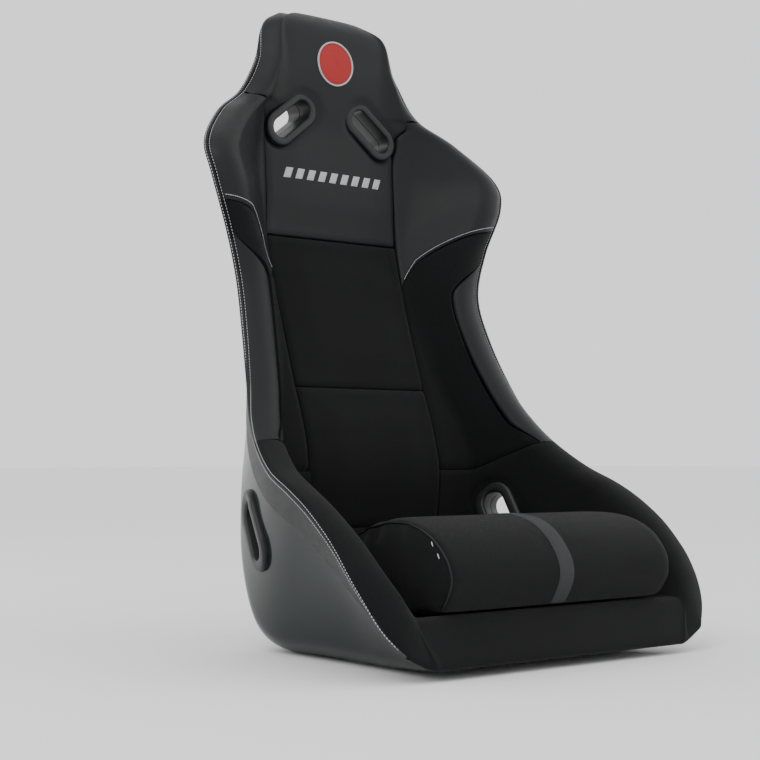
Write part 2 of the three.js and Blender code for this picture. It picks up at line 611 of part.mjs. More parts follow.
add('shell', shellSolid(), GELCOAT);
add('head_pad', pad(HEAD_PAD_LIMITS, [shoulderSlot]), LEATHER);
add('back_panel', centrePad(SEAM_HEAD_BACK + gapS, SEAM_BACK_LUMBAR - gapS), FABRIC);
add('lumbar_panel', centrePad(SEAM_BACK_LUMBAR + gapS, SEAM_LUMBAR_LINER - gapS), FABRIC);
add('base_liner', centrePad(SEAM_LUMBAR_LINER + gapS, SEAM_LIP - gapS, [], true), FABRIC);
add('front_lip_pad', pad({ start: SEAM_LIP + gapS, end: LAST, inner: -1, outer: 1 }), FABRIC);
addPair('shoulder_pad', pad({
  start: SEAM_HEAD_SIDE + 0.15, end: SEAM_SHOULDER_INNER, inner: sideStart, outer: 1,
}, [shoulderSlot]).subtract(belowShoulderSeam(-gapS)), LEATHER);
addPair('bolster_fabric', pad({
  start: SEAM_SHOULDER_RIM, end: SEAM_BOLSTER_THIGH - gapS, inner: sideStart,
  outer: (s) => (s > RIM_PANEL_START ? panelEdge(s) - panelGap : 1),
}, [lapSlot]).intersect(belowShoulderSeam(gapS)), FABRIC);
addPair('rim_panel', pad({
  start: RIM_PANEL_START + 0.25, end: SEAM_BOLSTER_THIGH - gapS, inner: panelEdge, outer: 1,
}), LEATHER);
addPair('thigh_bolster', pad({
  start: SEAM_BOLSTER_THIGH + gapS, end: SEAM_LIP - gapS, inner: sideStart, outer: 1,
}, [lapSlot]), FABRIC);
addPair('edge_wrap', wrap(0, LAST, wrapWidth), LEATHER);
add('head_wrap', patch({
  start: 0, end: topWrapEnd, inner: (s) => -headWrapEdge(s), outer: headWrapEdge,
  back: shellPoint(-GLUE_LINE - WRAP_THICKNESS), front: shellPoint(-GLUE_LINE),
}), LEATHER);
for (const slot of slots) {
  addPair(`${slot.side}_bezel_outer`, slot.outer, BEZEL);
  addPair(`${slot.side}_bezel_inner`, slot.inner, BEZEL);
}
const insertNames = ['left_rear', 'left_front', 'right_rear', 'right_front'];
insertPlaces.forEach((place, k) => add(`base_insert_${insertNames[k]}`, insertSolid(place), STEEL));
addPair('hook_strip', strip(1, FIT_GAP), STRIP);
addPair('loop_strip', strip(1, 2 * FIT_GAP + STRIP_THICKNESS), STRIP);
add('seat_cushion', cushionGeometry(), FABRIC);
add('cushion_band', bandGeometry(), BAND);
add('head_patch', patchDisc(), EMBROIDERY);

// The origin is put at the middle of the base of the bounding box.
const box = new THREE.Box3().setFromObject(seat);
seat.position.set(0, -(box.min.y + box.max.y) / 2, -box.min.z);

const part = new THREE.Group();
part.add(seat);
export default part;
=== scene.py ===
"""Fixed-back motorsport bucket seat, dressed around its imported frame.

A gelcoat shell carries glued leather and knitted pads that roll over its rim, a leather wrap
outside the rim, moulded belt-slot bezels, contrast stitching and a loose roll cushion.
Metres, +Z up, the seat faces -Y.
"""

import logging
import math
from dataclasses import dataclass, field
from enum import Enum
from typing import Callable, Sequence

import bpy
import numpy as np
from mathutils import Matrix, Vector
from mathutils.bvhtree import BVHTree


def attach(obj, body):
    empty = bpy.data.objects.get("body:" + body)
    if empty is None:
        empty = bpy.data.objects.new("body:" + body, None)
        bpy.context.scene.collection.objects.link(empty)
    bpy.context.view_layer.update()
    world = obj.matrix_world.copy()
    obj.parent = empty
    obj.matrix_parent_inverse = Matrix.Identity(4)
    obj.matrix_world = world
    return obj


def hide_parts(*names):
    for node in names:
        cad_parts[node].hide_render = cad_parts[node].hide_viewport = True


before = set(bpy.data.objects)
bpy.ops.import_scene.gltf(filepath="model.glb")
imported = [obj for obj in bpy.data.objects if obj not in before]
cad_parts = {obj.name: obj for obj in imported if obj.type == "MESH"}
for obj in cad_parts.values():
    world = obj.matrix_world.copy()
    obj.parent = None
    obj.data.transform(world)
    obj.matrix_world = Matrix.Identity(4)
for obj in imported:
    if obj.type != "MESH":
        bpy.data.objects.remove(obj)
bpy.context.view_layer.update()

log = logging.getLogger("racing_seat")
logging.basicConfig(level=logging.INFO, format="%(name)s: %(message)s")

Array = np.ndarray
Colour = tuple[float, float, float]
MM = 0.001
SEAT = "seat"
CUSHION = "cushion"


class Side(Enum):
    """Which half of the seat a piece lies on."""

    RIGHT = 1
    LEFT = -1

    @property
    def word(self) -> str:
        """Lower-case name used in piece names."""
        return self.name.lower()


# ---- camera, light and floor ------------------------------------------------------------
@dataclass(frozen=True)
class Studio:
    """Camera, floor and soft light around the seat."""

    eye: tuple[float, float, float] = (-1.440, -1.626, 0.2575)
    right: tuple[float, float, float] = (0.7678, -0.6405, 0.0)
    up: tuple[float, float, float] = (-0.0304, -0.0364, 0.99887)
    forward: tuple[float, float, float] = (0.6398, 0.7669, 0.04745)
    lens: float = 75.8
    sensor: float = 36.0
    floor_size: float = 60.0
    floor_drop: float = 0.0005
    floor_grey: float = 0.9
    world_strength: float = 1.3
    aim: tuple[float, float, float] = (0.0, 0.0, 0.45)
    lamps: tuple[tuple[str, tuple[float, float, float], float, float], ...] = (
        ("key", (-2.2, -1.2, 2.6), 1.6, 26.0),
        ("fill", (2.4, -2.2, 1.8), 2.2, 9.0),
        ("rim", (-2.0, 2.4, 1.4), 1.4, 16.0),
    )

    def place_camera(self) -> None:
        """Add the camera and make it the scene's own."""
        data = bpy.data.cameras.new("camera")
        data.lens = self.lens
        data.sensor_width = self.sensor
        camera = bpy.data.objects.new("camera", data)
        bpy.context.scene.collection.objects.link(camera)
        rows = zip(self.right, self.up, [-f for f in self.forward])
        camera.matrix_world = Matrix.Translation(self.eye) @ Matrix(list(rows)).to_4x4()
        bpy.context.scene.camera = camera

    def light(self) -> None:
        """Add the world, the soft lamps and the pale floor."""
        world = bpy.data.worlds.new("studio")
        world.use_nodes = True
        background = world.node_tree.nodes["Background"]
        background.inputs["Color"].default_value = (1.0, 1.0, 1.0, 1.0)
        background.inputs["Strength"].default_value = self.world_strength
        bpy.context.scene.world = world
        for lamp in self.lamps:
            self.lamp(*lamp)
        clear_selection()
        bpy.ops.mesh.primitive_plane_add(size=self.floor_size,
                                         location=(0.0, 0.0, -self.floor_drop))
        floor = bpy.context.object
        floor.name = "floor"
        bench = Bench("pale_floor")
        bench.set("Base Color", (self.floor_grey, self.floor_grey, self.floor_grey, 1.0))
        bench.set("Roughness", 0.9)
        floor.data.materials.append(bench.material)

    def lamp(self, name: str, place: tuple[float, float, float], size: float,
             power: float) -> None:
        """Add one square area lamp aimed at the middle of the seat.

        Args:
            name: The lamp's name.
            place: Where it stands.
            size: Side of its square.
            power: Watts.
        """
        data = bpy.data.lights.new(name, "AREA")
        data.size = size
        data.energy = power
        lamp = bpy.data.objects.new(name, data)
        turn = (Vector(self.aim) - Vector(place)).to_track_quat("-Z", "Y")
        lamp.matrix_world = Matrix.Translation(place) @ turn.to_matrix().to_4x4()
        bpy.context.scene.collection.objects.link(lamp)


# ---- shader bench -----------------------------------------------------------------------
class Sock:
    """A node's output that takes part in shader maths."""

    def __init__(self, bench: "Bench", socket: bpy.types.NodeSocket) -> None:
        """Keep the bench and the output."""
        self.bench = bench
        self.socket = socket

    def _math(self, operation: str, first: object, second: object) -> "Sock":
        """Add a Math node and return its output."""
        return self.bench.node("ShaderNodeMath", {"operation": operation}, {0: first, 1: second})

    def __add__(self, other: object) -> "Sock":
        """Sum."""
        return self._math("ADD", self, other)

    __radd__ = __add__

    def __mul__(self, other: object) -> "Sock":
        """Product."""
        return self._math("MULTIPLY", self, other)

    __rmul__ = __mul__

    def __sub__(self, other: object) -> "Sock":
        """Difference."""
        return self._math("SUBTRACT", self, other)

    def __rsub__(self, other: object) -> "Sock":
        """Difference, the other way round."""
        return self._math("SUBTRACT", other, self)

    def sine(self) -> "Sock":
        """Sine of this."""
        return self._math("SINE", self, 0.0)


class Bench:
    """One material and the means to build its nodes."""

    def __init__(self, name: str) -> None:
        """Start a material with a Principled shader."""
        self.material = bpy.data.materials.new(name)
        self.material.use_nodes = True
        self.tree = self.material.node_tree
        self.shader = self.tree.nodes["Principled BSDF"]

    def node(self, kind: str, settings: dict, inputs: dict, output: object = 0) -> Sock:
        """Add a node.

        Args:
            kind: The node's type.
            settings: Its properties, set first.
            inputs: Values or links by socket name or index.
            output: The output that is wanted, by name or index.

        Returns:
            The wanted output.
        """
        node = self.tree.nodes.new(kind)
        for key, value in settings.items():
            setattr(node, key, value)
        for key, value in inputs.items():
            if isinstance(value, Sock):
                self.tree.links.new(value.socket, node.inputs[key])
            else:
                node.inputs[key].default_value = value
        return Sock(self, node.outputs[output])

    def set(self, name: str, value: object) -> None:
        """Give one of the shader's sockets a constant or a link."""
        if isinstance(value, Sock):
            self.tree.links.new(value.socket, self.shader.inputs[name])
        else:
            self.shader.inputs[name].default_value = value

    def place(self) -> Sock:
        """Object coordinates."""
        return self.node("ShaderNodeTexCoord", {}, {}, "Object")

    def cloth_place(self) -> Sock:
        """The piece's own map, in metres along the surface."""
        return self.node("ShaderNodeUVMap", {"uv_map": "UVMap"}, {}, "UV")

    def axis(self, vector: Sock, name: str) -> Sock:
        """One axis of a vector."""
        return self.node("ShaderNodeSeparateXYZ", {}, {"Vector": vector}, name)

    def noise(self, vector: Sock, scale: float, detail: float = 2.0) -> Sock:
        """Noise from 0 to 1 on a vector."""
        inputs = {"Vector": vector, "Scale": scale, "Detail": detail}
        return self.node("ShaderNodeTexNoise", {}, inputs, "Fac")

    def blend(self, factor: object, first: object, second: object) -> Sock:
        """Mix two colours."""
        settings = {"data_type": "RGBA"}
        return self.node("ShaderNodeMix", settings, {0: factor, 6: first, 7: second}, 2)

    def tint(self, tone: Sock, colour: Colour, shades: tuple[float, float]) -> None:
        """Base Color between a darker and a lighter shade of one colour."""
        dark, light = (rgba(colour, gain) for gain in shades)
        self.set("Base Color", self.blend(tone, dark, light))

    def bump(self, height: Sock, depth: float, strength: float = 1.0) -> None:
        """Feed a height through a Bump node to the shader's normal."""
        inputs = {"Height": height, "Distance": depth, "Strength": strength}
        self.set("Normal", self.node("ShaderNodeBump", {}, inputs, "Normal"))


def rgba(colour: Colour, gain: float = 1.0) -> tuple[float, float, float, float]:
    """A colour with full alpha, brightened by a gain."""
    return (colour[0] * gain, colour[1] * gain, colour[2] * gain, 1.0)


# ---- finishes ---------------------------------------------------------------------------
@dataclass(frozen=True)
class LeatherFinish:
    """Satin synthetic leather with a fine pebbled grain."""

    name: str = "grained_leather"
    colour: Colour = (0.0062, 0.0067, 0.0076)
    shades: tuple[float, float] = (0.78, 1.3)
    roughness: float = 0.43
    specular: float = 0.24
    grain: float = 720.0
    relief: float = 0.0006

    def build(self) -> bpy.types.Material:
        """Make the material."""
        bench = Bench(self.name)
        place = bench.place()
        cells = bench.node("ShaderNodeTexVoronoi", {"feature": "DISTANCE_TO_EDGE"},
                           {"Vector": place, "Scale": self.grain}, "Distance")
        pores = bench.noise(place, self.grain * 2.4, 3.0)
        folds = bench.noise(place, 16.0, 4.0)
        wear = bench.noise(place, 90.0, 3.0)
        bench.tint(folds * 0.6 + wear * 0.4, self.colour, self.shades)
        bench.set("Roughness", self.roughness + (wear - 0.5) * 0.16)
        bench.set("Specular IOR Level", self.specular)
        bench.bump(cells * 0.8 + pores * 0.2 + folds * 0.9, self.relief, 0.5)
        return bench.material


@dataclass(frozen=True)
class KnitFinish:
    """Black knitted spacer fabric: small diamond eyelets between raised wales."""

    name: str = "spacer_knit"
    colour: Colour = (0.0052, 0.0054, 0.006)
    shades: tuple[float, float] = (0.6, 1.6)
    pitch: float = 0.0022
    roughness: float = 0.82
    specular: float = 0.14
    sheen: float = 0.05
    sheen_roughness: float = 0.45
    relief: float = 0.0004

    def build(self) -> bpy.types.Material:
        """Make the material."""
        bench = Bench(self.name)
        place = bench.cloth_place()
        turn = 2.0 * math.pi / self.pitch
        across = (bench.axis(place, "X") * turn).sine()
        along = (bench.axis(place, "Y") * (turn * 0.72)).sine()
        eyelets = across * along
        ribs = (bench.axis(place, "X") * (turn * 2.0)).sine() * 0.3
        fuzz = bench.noise(bench.place(), 900.0, 2.0)
        cloud = bench.noise(bench.place(), 11.0, 3.0)
        bench.tint(eyelets * 0.22 + cloud * 0.55 + 0.2, self.colour, self.shades)
        bench.set("Roughness", self.roughness + fuzz * 0.14)
        bench.set("Specular IOR Level", self.specular)
        bench.set("Sheen Weight", self.sheen)
        bench.set("Sheen Roughness", self.sheen_roughness)
        bench.bump(eyelets * 0.7 + ribs + fuzz * 0.5, self.relief, 0.6)
        return bench.material


@dataclass(frozen=True)
class GelcoatFinish:
    """Polished dark gelcoat over glass fibre, faintly rippled."""

    name: str = "dark_gelcoat"
    colour: Colour = (0.0085, 0.0125, 0.0125)
    shades: tuple[float, float] = (0.8, 1.25)
    roughness: float = 0.2
    specular: float = 0.02
    coat: float = 0.4
    coat_roughness: float = 0.06
    relief: float = 0.0005

    def build(self) -> bpy.types.Material:
        """Make the material."""
        bench = Bench(self.name)
        place = bench.place()
        cloud = bench.noise(place, 7.0, 3.0)
        fibre = bench.noise(place, 420.0, 4.0)
        ripple = bench.noise(place, 38.0, 1.0)
        bench.tint(cloud * 0.7 + fibre * 0.3, self.colour, self.shades)
        bench.set("Roughness", self.roughness + fibre * 0.08)
        bench.set("Specular IOR Level", self.specular)
        bench.set("Coat Weight", self.coat)
        bench.set("Coat Roughness", self.coat_roughness)
        bench.bump(ripple * 0.7 + fibre * 0.05, self.relief, 0.25)
        return bench.material


@dataclass(frozen=True)
class PlasticFinish:
    """Moulded satin plastic with a spark-eroded texture."""

    name: str = "bezel_plastic"
    colour: Colour = (0.0105, 0.011, 0.012)
    shades: tuple[float, float] = (0.85, 1.2)
    roughness: float = 0.42
    specular: float = 0.35
    relief: float = 0.00012

    def build(self) -> bpy.types.Material:
        """Make the material."""
        bench = Bench(self.name)
        place = bench.place()
        spark = bench.noise(place, 1500.0, 3.0)
        smear = bench.noise(place, 45.0, 3.0)
        bench.tint(smear, self.colour, self.shades)
        bench.set("Roughness", self.roughness + (smear - 0.5) * 0.15)
        bench.set("Specular IOR Level", self.specular)
        bench.bump(spark, self.relief, 0.5)
        return bench.material


@dataclass(frozen=True)
class ThreadFinish:
    """Twisted polyester sewing thread."""

    name: str = "silver_thread"
    colour: Colour = (0.46, 0.48, 0.50)
    shades: tuple[float, float] = (0.7, 1.15)
    roughness: float = 0.6
    relief: float = 0.0002

    def build(self) -> bpy.types.Material:
        """Make the material."""
        bench = Bench(self.name)
        place = bench.place()
        ply = bench.noise(place, 1900.0, 2.0)
        dust = bench.noise(place, 60.0, 2.0)
        bench.tint(ply * 0.5 + dust * 0.5, self.colour, self.shades)
        bench.set("Roughness", self.roughness + ply * 0.2)
        bench.bump(ply, self.relief, 0.6)
        return bench.material


@dataclass(frozen=True)
class TapeFinish:
    """Flat woven tape: a plain weave on Object coordinates."""

    name: str
    colour: Colour
    pitch: float = 0.0011
    roughness: float = 0.8
    shades: tuple[float, float] = (0.75, 1.25)
    relief: float = 0.00025

    def build(self) -> bpy.types.Material:
        """Make the material."""
        bench = Bench(self.name)
        place = bench.place()
        turn = 2.0 * math.pi / self.pitch
        warp = (bench.axis(place, "X") * turn).sine()
        weft = ((bench.axis(place, "Y") + bench.axis(place, "Z")) * (turn * 0.7)).sine()
        weave = warp * weft
        fuzz = bench.noise(place, 800.0, 2.0)
        bench.tint(weave * 0.3 + fuzz * 0.4 + 0.3, self.colour, self.shades)
        bench.set("Roughness", self.roughness + fuzz * 0.1)
        bench.bump(weave + fuzz * 0.4, self.relief, 0.6)
        return bench.material


@dataclass(frozen=True)
class ZincFinish:
    """Zinc-plated turned steel."""

    name: str = "zinc_plate"
    colour: Colour = (0.52, 0.53, 0.55)
    shades: tuple[float, float] = (0.75, 1.1)
    roughness: float = 0.3
    relief: float = 0.0001

    def build(self) -> bpy.types.Material:
        """Make the material."""
        bench = Bench(self.name)
        place = bench.place()
        spangle = bench.noise(place, 260.0, 3.0)
        bench.tint(spangle, self.colour, self.shades)
        bench.set("Metallic", 1.0)
        bench.set("Roughness", self.roughness + spangle * 0.2)
        bench.bump(spangle, self.relief, 0.4)
        return bench.material


class Finishes:
    """Every material of the seat, made once."""

    def __init__(self) -> None:
        """Build the materials."""
        self.leather = LeatherFinish().build()
        self.knit = KnitFinish().build()
        self.gelcoat = GelcoatFinish().build()
        self.plastic = PlasticFinish().build()
        self.thread = ThreadFinish().build()
        self.band = TapeFinish("grey_tape", (0.022, 0.023, 0.025)).build()
        self.loop = TapeFinish("hook_and_loop", (0.006, 0.006, 0.006), 0.0018, 0.9).build()
        self.zinc = ZincFinish().build()
        self.red = TapeFinish("red_embroidery", (0.36, 0.009, 0.009), 0.0009, 0.62).build()
        self.silver = TapeFinish("silver_embroidery", (0.42, 0.44, 0.46), 0.0009, 0.55).build()


# ---- small sums -------------------------------------------------------------------------
def ease(t: Array) -> Array:
    """Smooth step from 0 to 1."""
    c = np.clip(t, 0, 1)
    return c * c * (3 - 2 * c)


def quarter(t: Array) -> Array:
    """Quarter circle: rises steeply from 0 and levels out at 1."""
    return np.sqrt(1 - (1 - t) ** 2)


def unit(vectors: Array) -> Array:
    """Vectors of length 1 in the same directions."""
    return vectors / np.linalg.norm(vectors, axis=-1, keepdims=True)


def spread(count: int, ends: float = 0.7) -> Array:
    """Numbers from 0 to 1, closer together towards both ends."""
    u = np.linspace(0, 1, count)
    return u - ends * np.sin(2 * math.pi * u) / (2 * math.pi)


def travelled(points: Array, axis: int = 0) -> Array:
    """Distance from the start along a line of points, or along one axis of a grid."""
    run = np.linalg.norm(np.diff(points, axis=axis), axis=-1).cumsum(axis)
    return np.pad(run, [(int(k == axis), 0) for k in range(run.ndim)])


def values_at(stops: Array, run: Array, values: Array) -> Array:
    """Rows of a table read at given distances along the line that it belongs to."""
    return np.stack([np.interp(stops, run, column) for column in values.T], axis=1)


# ---- the seat's form --------------------------------------------------------------------
STATIONS = (
    # In millimetres, from the head to the lip: the middle's place forward and up, the rim's
    # half width and its place forward and up, the corner's half width, its fillet, and the
    # lining's depth in the middle and on the wall.
    (-12, 903, 84, 0, 903, 50, 40, 34, 22), (-24, 876, 109, 4, 876, 62, 60, 48, 26),
    (-27, 826, 123, 12, 824, 75, 80, 54, 30), (-27, 775, 155, 21, 772, 90, 100, 50, 32),
    (-26, 730, 212, 50, 731, 112, 110, 44, 32), (-24, 680, 258, 86, 678, 128, 110, 46, 32),
    (-20, 630, 256, 100, 632, 138, 100, 45, 34), (-10, 565, 229, 94, 563, 142, 90, 36, 36),
    (6, 495, 213, 95, 495, 147, 80, 40, 38), (22, 430, 219, 117, 425, 151, 75, 47, 38),
    (37, 355, 236, 152, 351, 158, 70, 58, 38), (46, 280, 252, 180, 307, 173, 70, 72, 38),
    (50, 195, 266, 214, 272, 186, 65, 86, 38), (60, 100, 280, 262, 239, 192, 60, 74, 38),
    (98, 22, 287, 310, 217, 195, 55, 40, 38), (165, 0, 290, 350, 195, 196, 55, 35, 38),
    (260, 0, 292, 392, 164, 197, 60, 45, 38), (350, 0, 292, 425, 130, 198, 60, 60, 38),
    (420, 4, 287, 452, 95, 204, 50, 68, 38), (465, 9, 276, 472, 62, 211, 36, 60, 34),
    (490, 14, 255, 488, 34, 215, 18, 34, 24),
)


@dataclass(frozen=True)
class SeatForm:
    """The moulding's shape: a section at each station, and layers inside it."""

    laminate: float = 4.0
    glue: float = 2.0
    wrap: float = 3.5
    rim_roll: float = 26.0
    crest_depth: float = 2.0
    crest_rise: float = 5.5
    roll_radius: float = 7.5
    top_roll: float = 1.2
    lip_roll: float = 0.9
    top_round: float = 6.0
    back: float = -27.0
    offset: float = 258.904
    arc: tuple[float, float] = (0.45, 0.68)
    roll_start: float = 0.88
    panel_half_width: float = 118.0
    least_fillet: float = 10.0
    fillet_share: float = 0.9
    roll_share: float = 0.8
    last: int = len(STATIONS) - 1

    def smooth(self, column: Array, s: Array) -> Array:
        """Hermite curve through a column of the table."""
        steps = np.diff(column)
        inner = np.where(steps[:-1] * steps[1:] == 0, 0.0, (steps[:-1] + steps[1:]) / 2)
        slopes = np.concatenate([steps[:1], inner, steps[-1:]])
        i = np.clip(np.floor(s).astype(int), 0, len(column) - 2)
        t = s - i
        t2, t3 = t * t, t * t * t
        return ((2 * t3 - 3 * t2 + 1) * column[i] + (t3 - 2 * t2 + t) * slopes[i]
                + (3 * t2 - 2 * t3) * column[i + 1] + (t3 - t2) * slopes[i + 1])

    def station(self, s: Array) -> list[Array]:
        """Centre, rim, corner, fillet and lining depths at s."""
        table = np.array(STATIONS, float)
        return [self.smooth(table[:, k], s) for k in range(table.shape[1])]

    def wall_length(self, s: Array) -> Array:
        """Distance from the sharp corner to the rim at s, in millimetres."""
        cu, cz, rx, ru, rz, xc, _, _, _ = self.station(s)
        return np.sqrt((rx - xc) ** 2 + (ru - cu) ** 2 + (rz - cz) ** 2)

    def section(self, s: Array, f: Array, floor: Array, wall: Array,
                edge: float | None = None) -> Array:
        """Points of a layer at given depths inside the moulding's outside.

        Args:
            s: Stations, from the head to the lip.
            f: Fractions of the section, from -1 at the left rim to 1 at the right.
            floor: Depth of the layer in the middle, in millimetres.
            wall: Depth on the side walls.
            edge: Depth to which the layer rolls at the rim, if it does.

        Returns:
            Points in metres, with the shape of s and f and three columns.
        """
        given = (np.asarray(v, float) for v in (s, f, floor, wall))
        s, f, floor, wall = np.broadcast_arrays(*given)
        cu, cz, rx, ru, rz, xc, fillet, _, _ = self.station(s)
        height = np.hypot(ru - cu, rz - cz)
        au, az = (ru - cu) / height, (rz - cz) / height
        length = np.hypot(rx - xc, height)
        dx, dh = (rx - xc) / length, height / length
        end_x, end_h = rx - dh * wall, height + dx * wall
        run = (end_h - floor) / dh
        corner = end_x - dx * run
        turn = np.arccos(dx)
        wanted = np.maximum(fillet - (floor + wall) / 2, self.least_fillet) * np.tan(turn / 2)
        tangent = np.minimum(wanted, self.fillet_share * np.minimum(corner, run))
        radius = tangent / np.tan(turn / 2)
        g = np.abs(f)
        low, high = self.arc
        angle = turn * np.clip((g - low) / (high - low), 0, 1)
        x = (corner - tangent) * np.minimum(g / low, 1) + radius * np.sin(angle)
        h = floor + radius * (1 - np.cos(angle))
        rolling = edge is not None
        room = self.roll_share * (run - tangent)
        roll = np.minimum(self.rim_roll, room) if rolling else 0.0
        start = self.roll_start if rolling else 1.0
        share = (g - high) / (start - high)
        q = tangent + (run - tangent - roll) * (np.minimum(share, 1) if rolling else share)
        sink = 0.0
        if rolling:
            over = np.clip((g - start) / (1 - start), 0, 1) * math.pi / 2
            q = q + (roll + self.crest_rise) * np.sin(over)
            sink = (wall - edge) * (1 - np.cos(over))
        beyond = g > high
        x = np.where(beyond, corner + dx * q + dh * sink, x)
        h = np.where(beyond, floor + dh * q - dx * sink, h)
        z = cz + az * h - self.top_round * g ** 3 * np.clip(1 - s, 0, 1) ** 2
        y = self.offset - (cu - self.back + au * h)
        return np.stack([np.sign(f) * x, y, z], axis=-1) * MM

    def shell(self, s: Array, f: Array, depth: float) -> Array:
        """A layer at one depth."""
        return self.section(s, f, depth, depth)

    def cover(self, s: Array, f: Array, extra: Array = 0.0) -> Array:
        """The visible surface of the lining, which rises to the crest of the rim.

        Args:
            s: Stations.
            f: Fractions.
            extra: Millimetres by which the surface stands prouder of its foam.

        Returns:
            Points in metres.
        """
        s = np.asarray(s, float)
        top = np.clip(s / self.top_roll, 0, 1)
        lip = np.clip((self.last - s) / self.lip_roll, 0, 1)
        roll = quarter(top) * quarter(lip)
        tc, tw = self.station(s)[-2:]
        edge = self.crest_depth
        points = self.section(s, f, edge + (tc - edge) * roll + extra,
                              edge + (tw - edge) * roll + extra, edge)
        rise = self.crest_rise * MM
        upward = self.outward_end(f, 0.0) * (1 - top[..., None]) ** 2
        forward = self.outward_end(f, float(self.last)) * (1 - lip[..., None]) ** 2
        return points + rise * (upward + forward)

    def outward_end(self, f: Array, end: float) -> Array:
        """Unit vectors that lead past the head's or the lip's edge."""
        step = 0.1 if end < 1 else -0.1
        return unit(self.shell(end, f, 0.0) - self.shell(end + step, f, 0.0))

    def fraction(self, x: float, s: Array, cover: bool = True) -> Array:
        """Fractions at which a layer has a given x in millimetres."""
        s = np.asarray(s, float)
        low, high = np.zeros_like(s), np.ones_like(s)
        for _ in range(24):
            middle = (low + high) / 2
            points = self.cover(s, middle) if cover else self.shell(s, middle, 0.0)
            below = points[..., 0] < x * MM
            low, high = np.where(below, middle, low), np.where(below, high, middle)
        return (low + high) / 2


FORM = SeatForm()


@dataclass(frozen=True)
class Seams:
    """Where the covers meet, in stations and fractions."""

    head_side: float = 3.1
    head_back: float = 6.9
    shoulder_rim: float = 6.5
    shoulder_inner: float = 7.8
    back_lumbar: float = 10.0
    lumbar_liner: float = 12.8
    bolster_thigh: float = 11.9
    lip: float = 18.4
    panel_start: float = 7.25

    def centre(self, s: Array) -> Array:
        """Fraction of the seam beside the centre panels."""
        s = np.asarray(s, float)
        panel = FORM.fraction(FORM.panel_half_width, np.clip(s, self.head_side, None))
        flare = np.clip(1 - (s - self.head_side) / 1.1, 0, 1) ** 3
        base = ease((s - self.lumbar_liner) / 0.8)
        seam = (panel + (1 - panel) * flare) * (1 - base) + (FORM.arc[0] - 0.01) * base
        return np.where(s <= self.head_side, 1.0, seam)

    def shoulder(self, v: Array) -> Array:
        """Station of the curved seam under the shoulder leather, v = 1 at the rim."""
        return self.shoulder_rim + (self.shoulder_inner - self.shoulder_rim) * (1 - v) ** 1.5

    def panel(self, s: Array) -> Array:
        """Fraction of the rim panel's inner edge."""
        narrowed = 1 - 0.4 * ease(s - self.bolster_thigh + 1)
        return 1 - (1 - FORM.roll_start) * ease(s - self.panel_start + 0.25) * narrowed


SEAMS = Seams()


# ---- modelling helpers ------------------------------------------------------------------
def clear_selection() -> None:
    """Leave nothing selected, in object mode."""
    if bpy.context.object is not None and bpy.context.object.mode != "OBJECT":
        bpy.ops.object.mode_set(mode="OBJECT")
    bpy.ops.object.select_all(action="DESELECT")


def pick(obj: bpy.types.Object) -> None:
    """Leave one object selected and active, in object mode."""
    clear_selection()
    bpy.context.view_layer.objects.active = obj
    obj.select_set(True)


def named(name: str) -> bpy.types.Object:
    """The primitive that was just added, under its piece's name."""
    obj = bpy.context.object
    obj.name = obj.data.name = name
    return obj


def places(obj: bpy.types.Object) -> Array:
    """The places of a mesh's vertices."""
    return np.array([v.co for v in obj.data.vertices])


def surface(obj: bpy.types.Object) -> BVHTree:
    """A piece's surface, to find points on."""
    return BVHTree.FromObject(obj, bpy.context.evaluated_depsgraph_get())


def edit(obj: bpy.types.Object, *steps: Callable[[], object]) -> None:
    """Run edit-mode operators on the whole of one mesh."""
    pick(obj)
    bpy.ops.object.mode_set(mode="EDIT")
    bpy.ops.mesh.select_all(action="SELECT")
    for step in steps:
        step()
    bpy.ops.object.mode_set(mode="OBJECT")


def face_outwards(obj: bpy.types.Object) -> None:
    """Turn every face of a closed mesh outwards."""
    edit(obj, lambda: bpy.ops.mesh.normals_make_consistent(inside=False))


def apply_modifier(obj: bpy.types.Object, kind: str, **settings: object) -> None:
    """Add a modifier and apply it."""
    pick(obj)
    modifier = obj.modifiers.new(kind.lower(), kind)
    for key, value in settings.items():
        setattr(modifier, key, value)
    bpy.ops.object.modifier_apply(modifier=modifier.name)


def smooth_shade(obj: bpy.types.Object, angle: float = 40.0) -> None:
    """Smooth shading with sharp edges kept above an angle in degrees."""
    pick(obj)
    bpy.ops.object.shade_smooth_by_angle(angle=math.radians(angle))


def lay(obj: bpy.types.Object, points: Array) -> None:
    """Give a mesh's vertices their places."""
    obj.data.vertices.foreach_set("co", np.ascontiguousarray(points, float).reshape(-1))
    obj.data.update()


def grid_solid(name: str, front: Array, back: Array) -> bpy.types.Object:
    """Closed solid between two layers of points.

    Args:
        name: The piece's name.
        front: Points of the visible layer, rows by columns by three.
        back: Points of the hidden layer, of the same shape.

    Returns:
        The object, with a map in metres along the front.
    """
    rows, cols = front.shape[:2]
    clear_selection()
    bpy.ops.mesh.primitive_grid_add(x_subdivisions=cols - 1, y_subdivisions=rows - 1, size=1.0)
    obj = named(name)
    shift = {"value": (0, 0, 1)}
    edit(obj, lambda: bpy.ops.mesh.extrude_region_move(TRANSFORM_OT_translate=shift))
    lay(obj, np.concatenate([front.reshape(-1, 3), back.reshape(-1, 3)]))
    face_outwards(obj)
    across, along = travelled(front, 1), travelled(front, 0)
    middle = slice(cols // 2, cols // 2 + 1)
    chart = np.stack([across - across[:, middle], along[:, middle] + 0 * along], axis=-1)
    chart = np.tile(chart.reshape(-1, 2), (2, 1))
    loops = np.empty(len(obj.data.loops), int)
    obj.data.loops.foreach_get("vertex_index", loops)
    obj.data.uv_layers.active.data.foreach_set("uv", chart[loops].reshape(-1))
    return obj


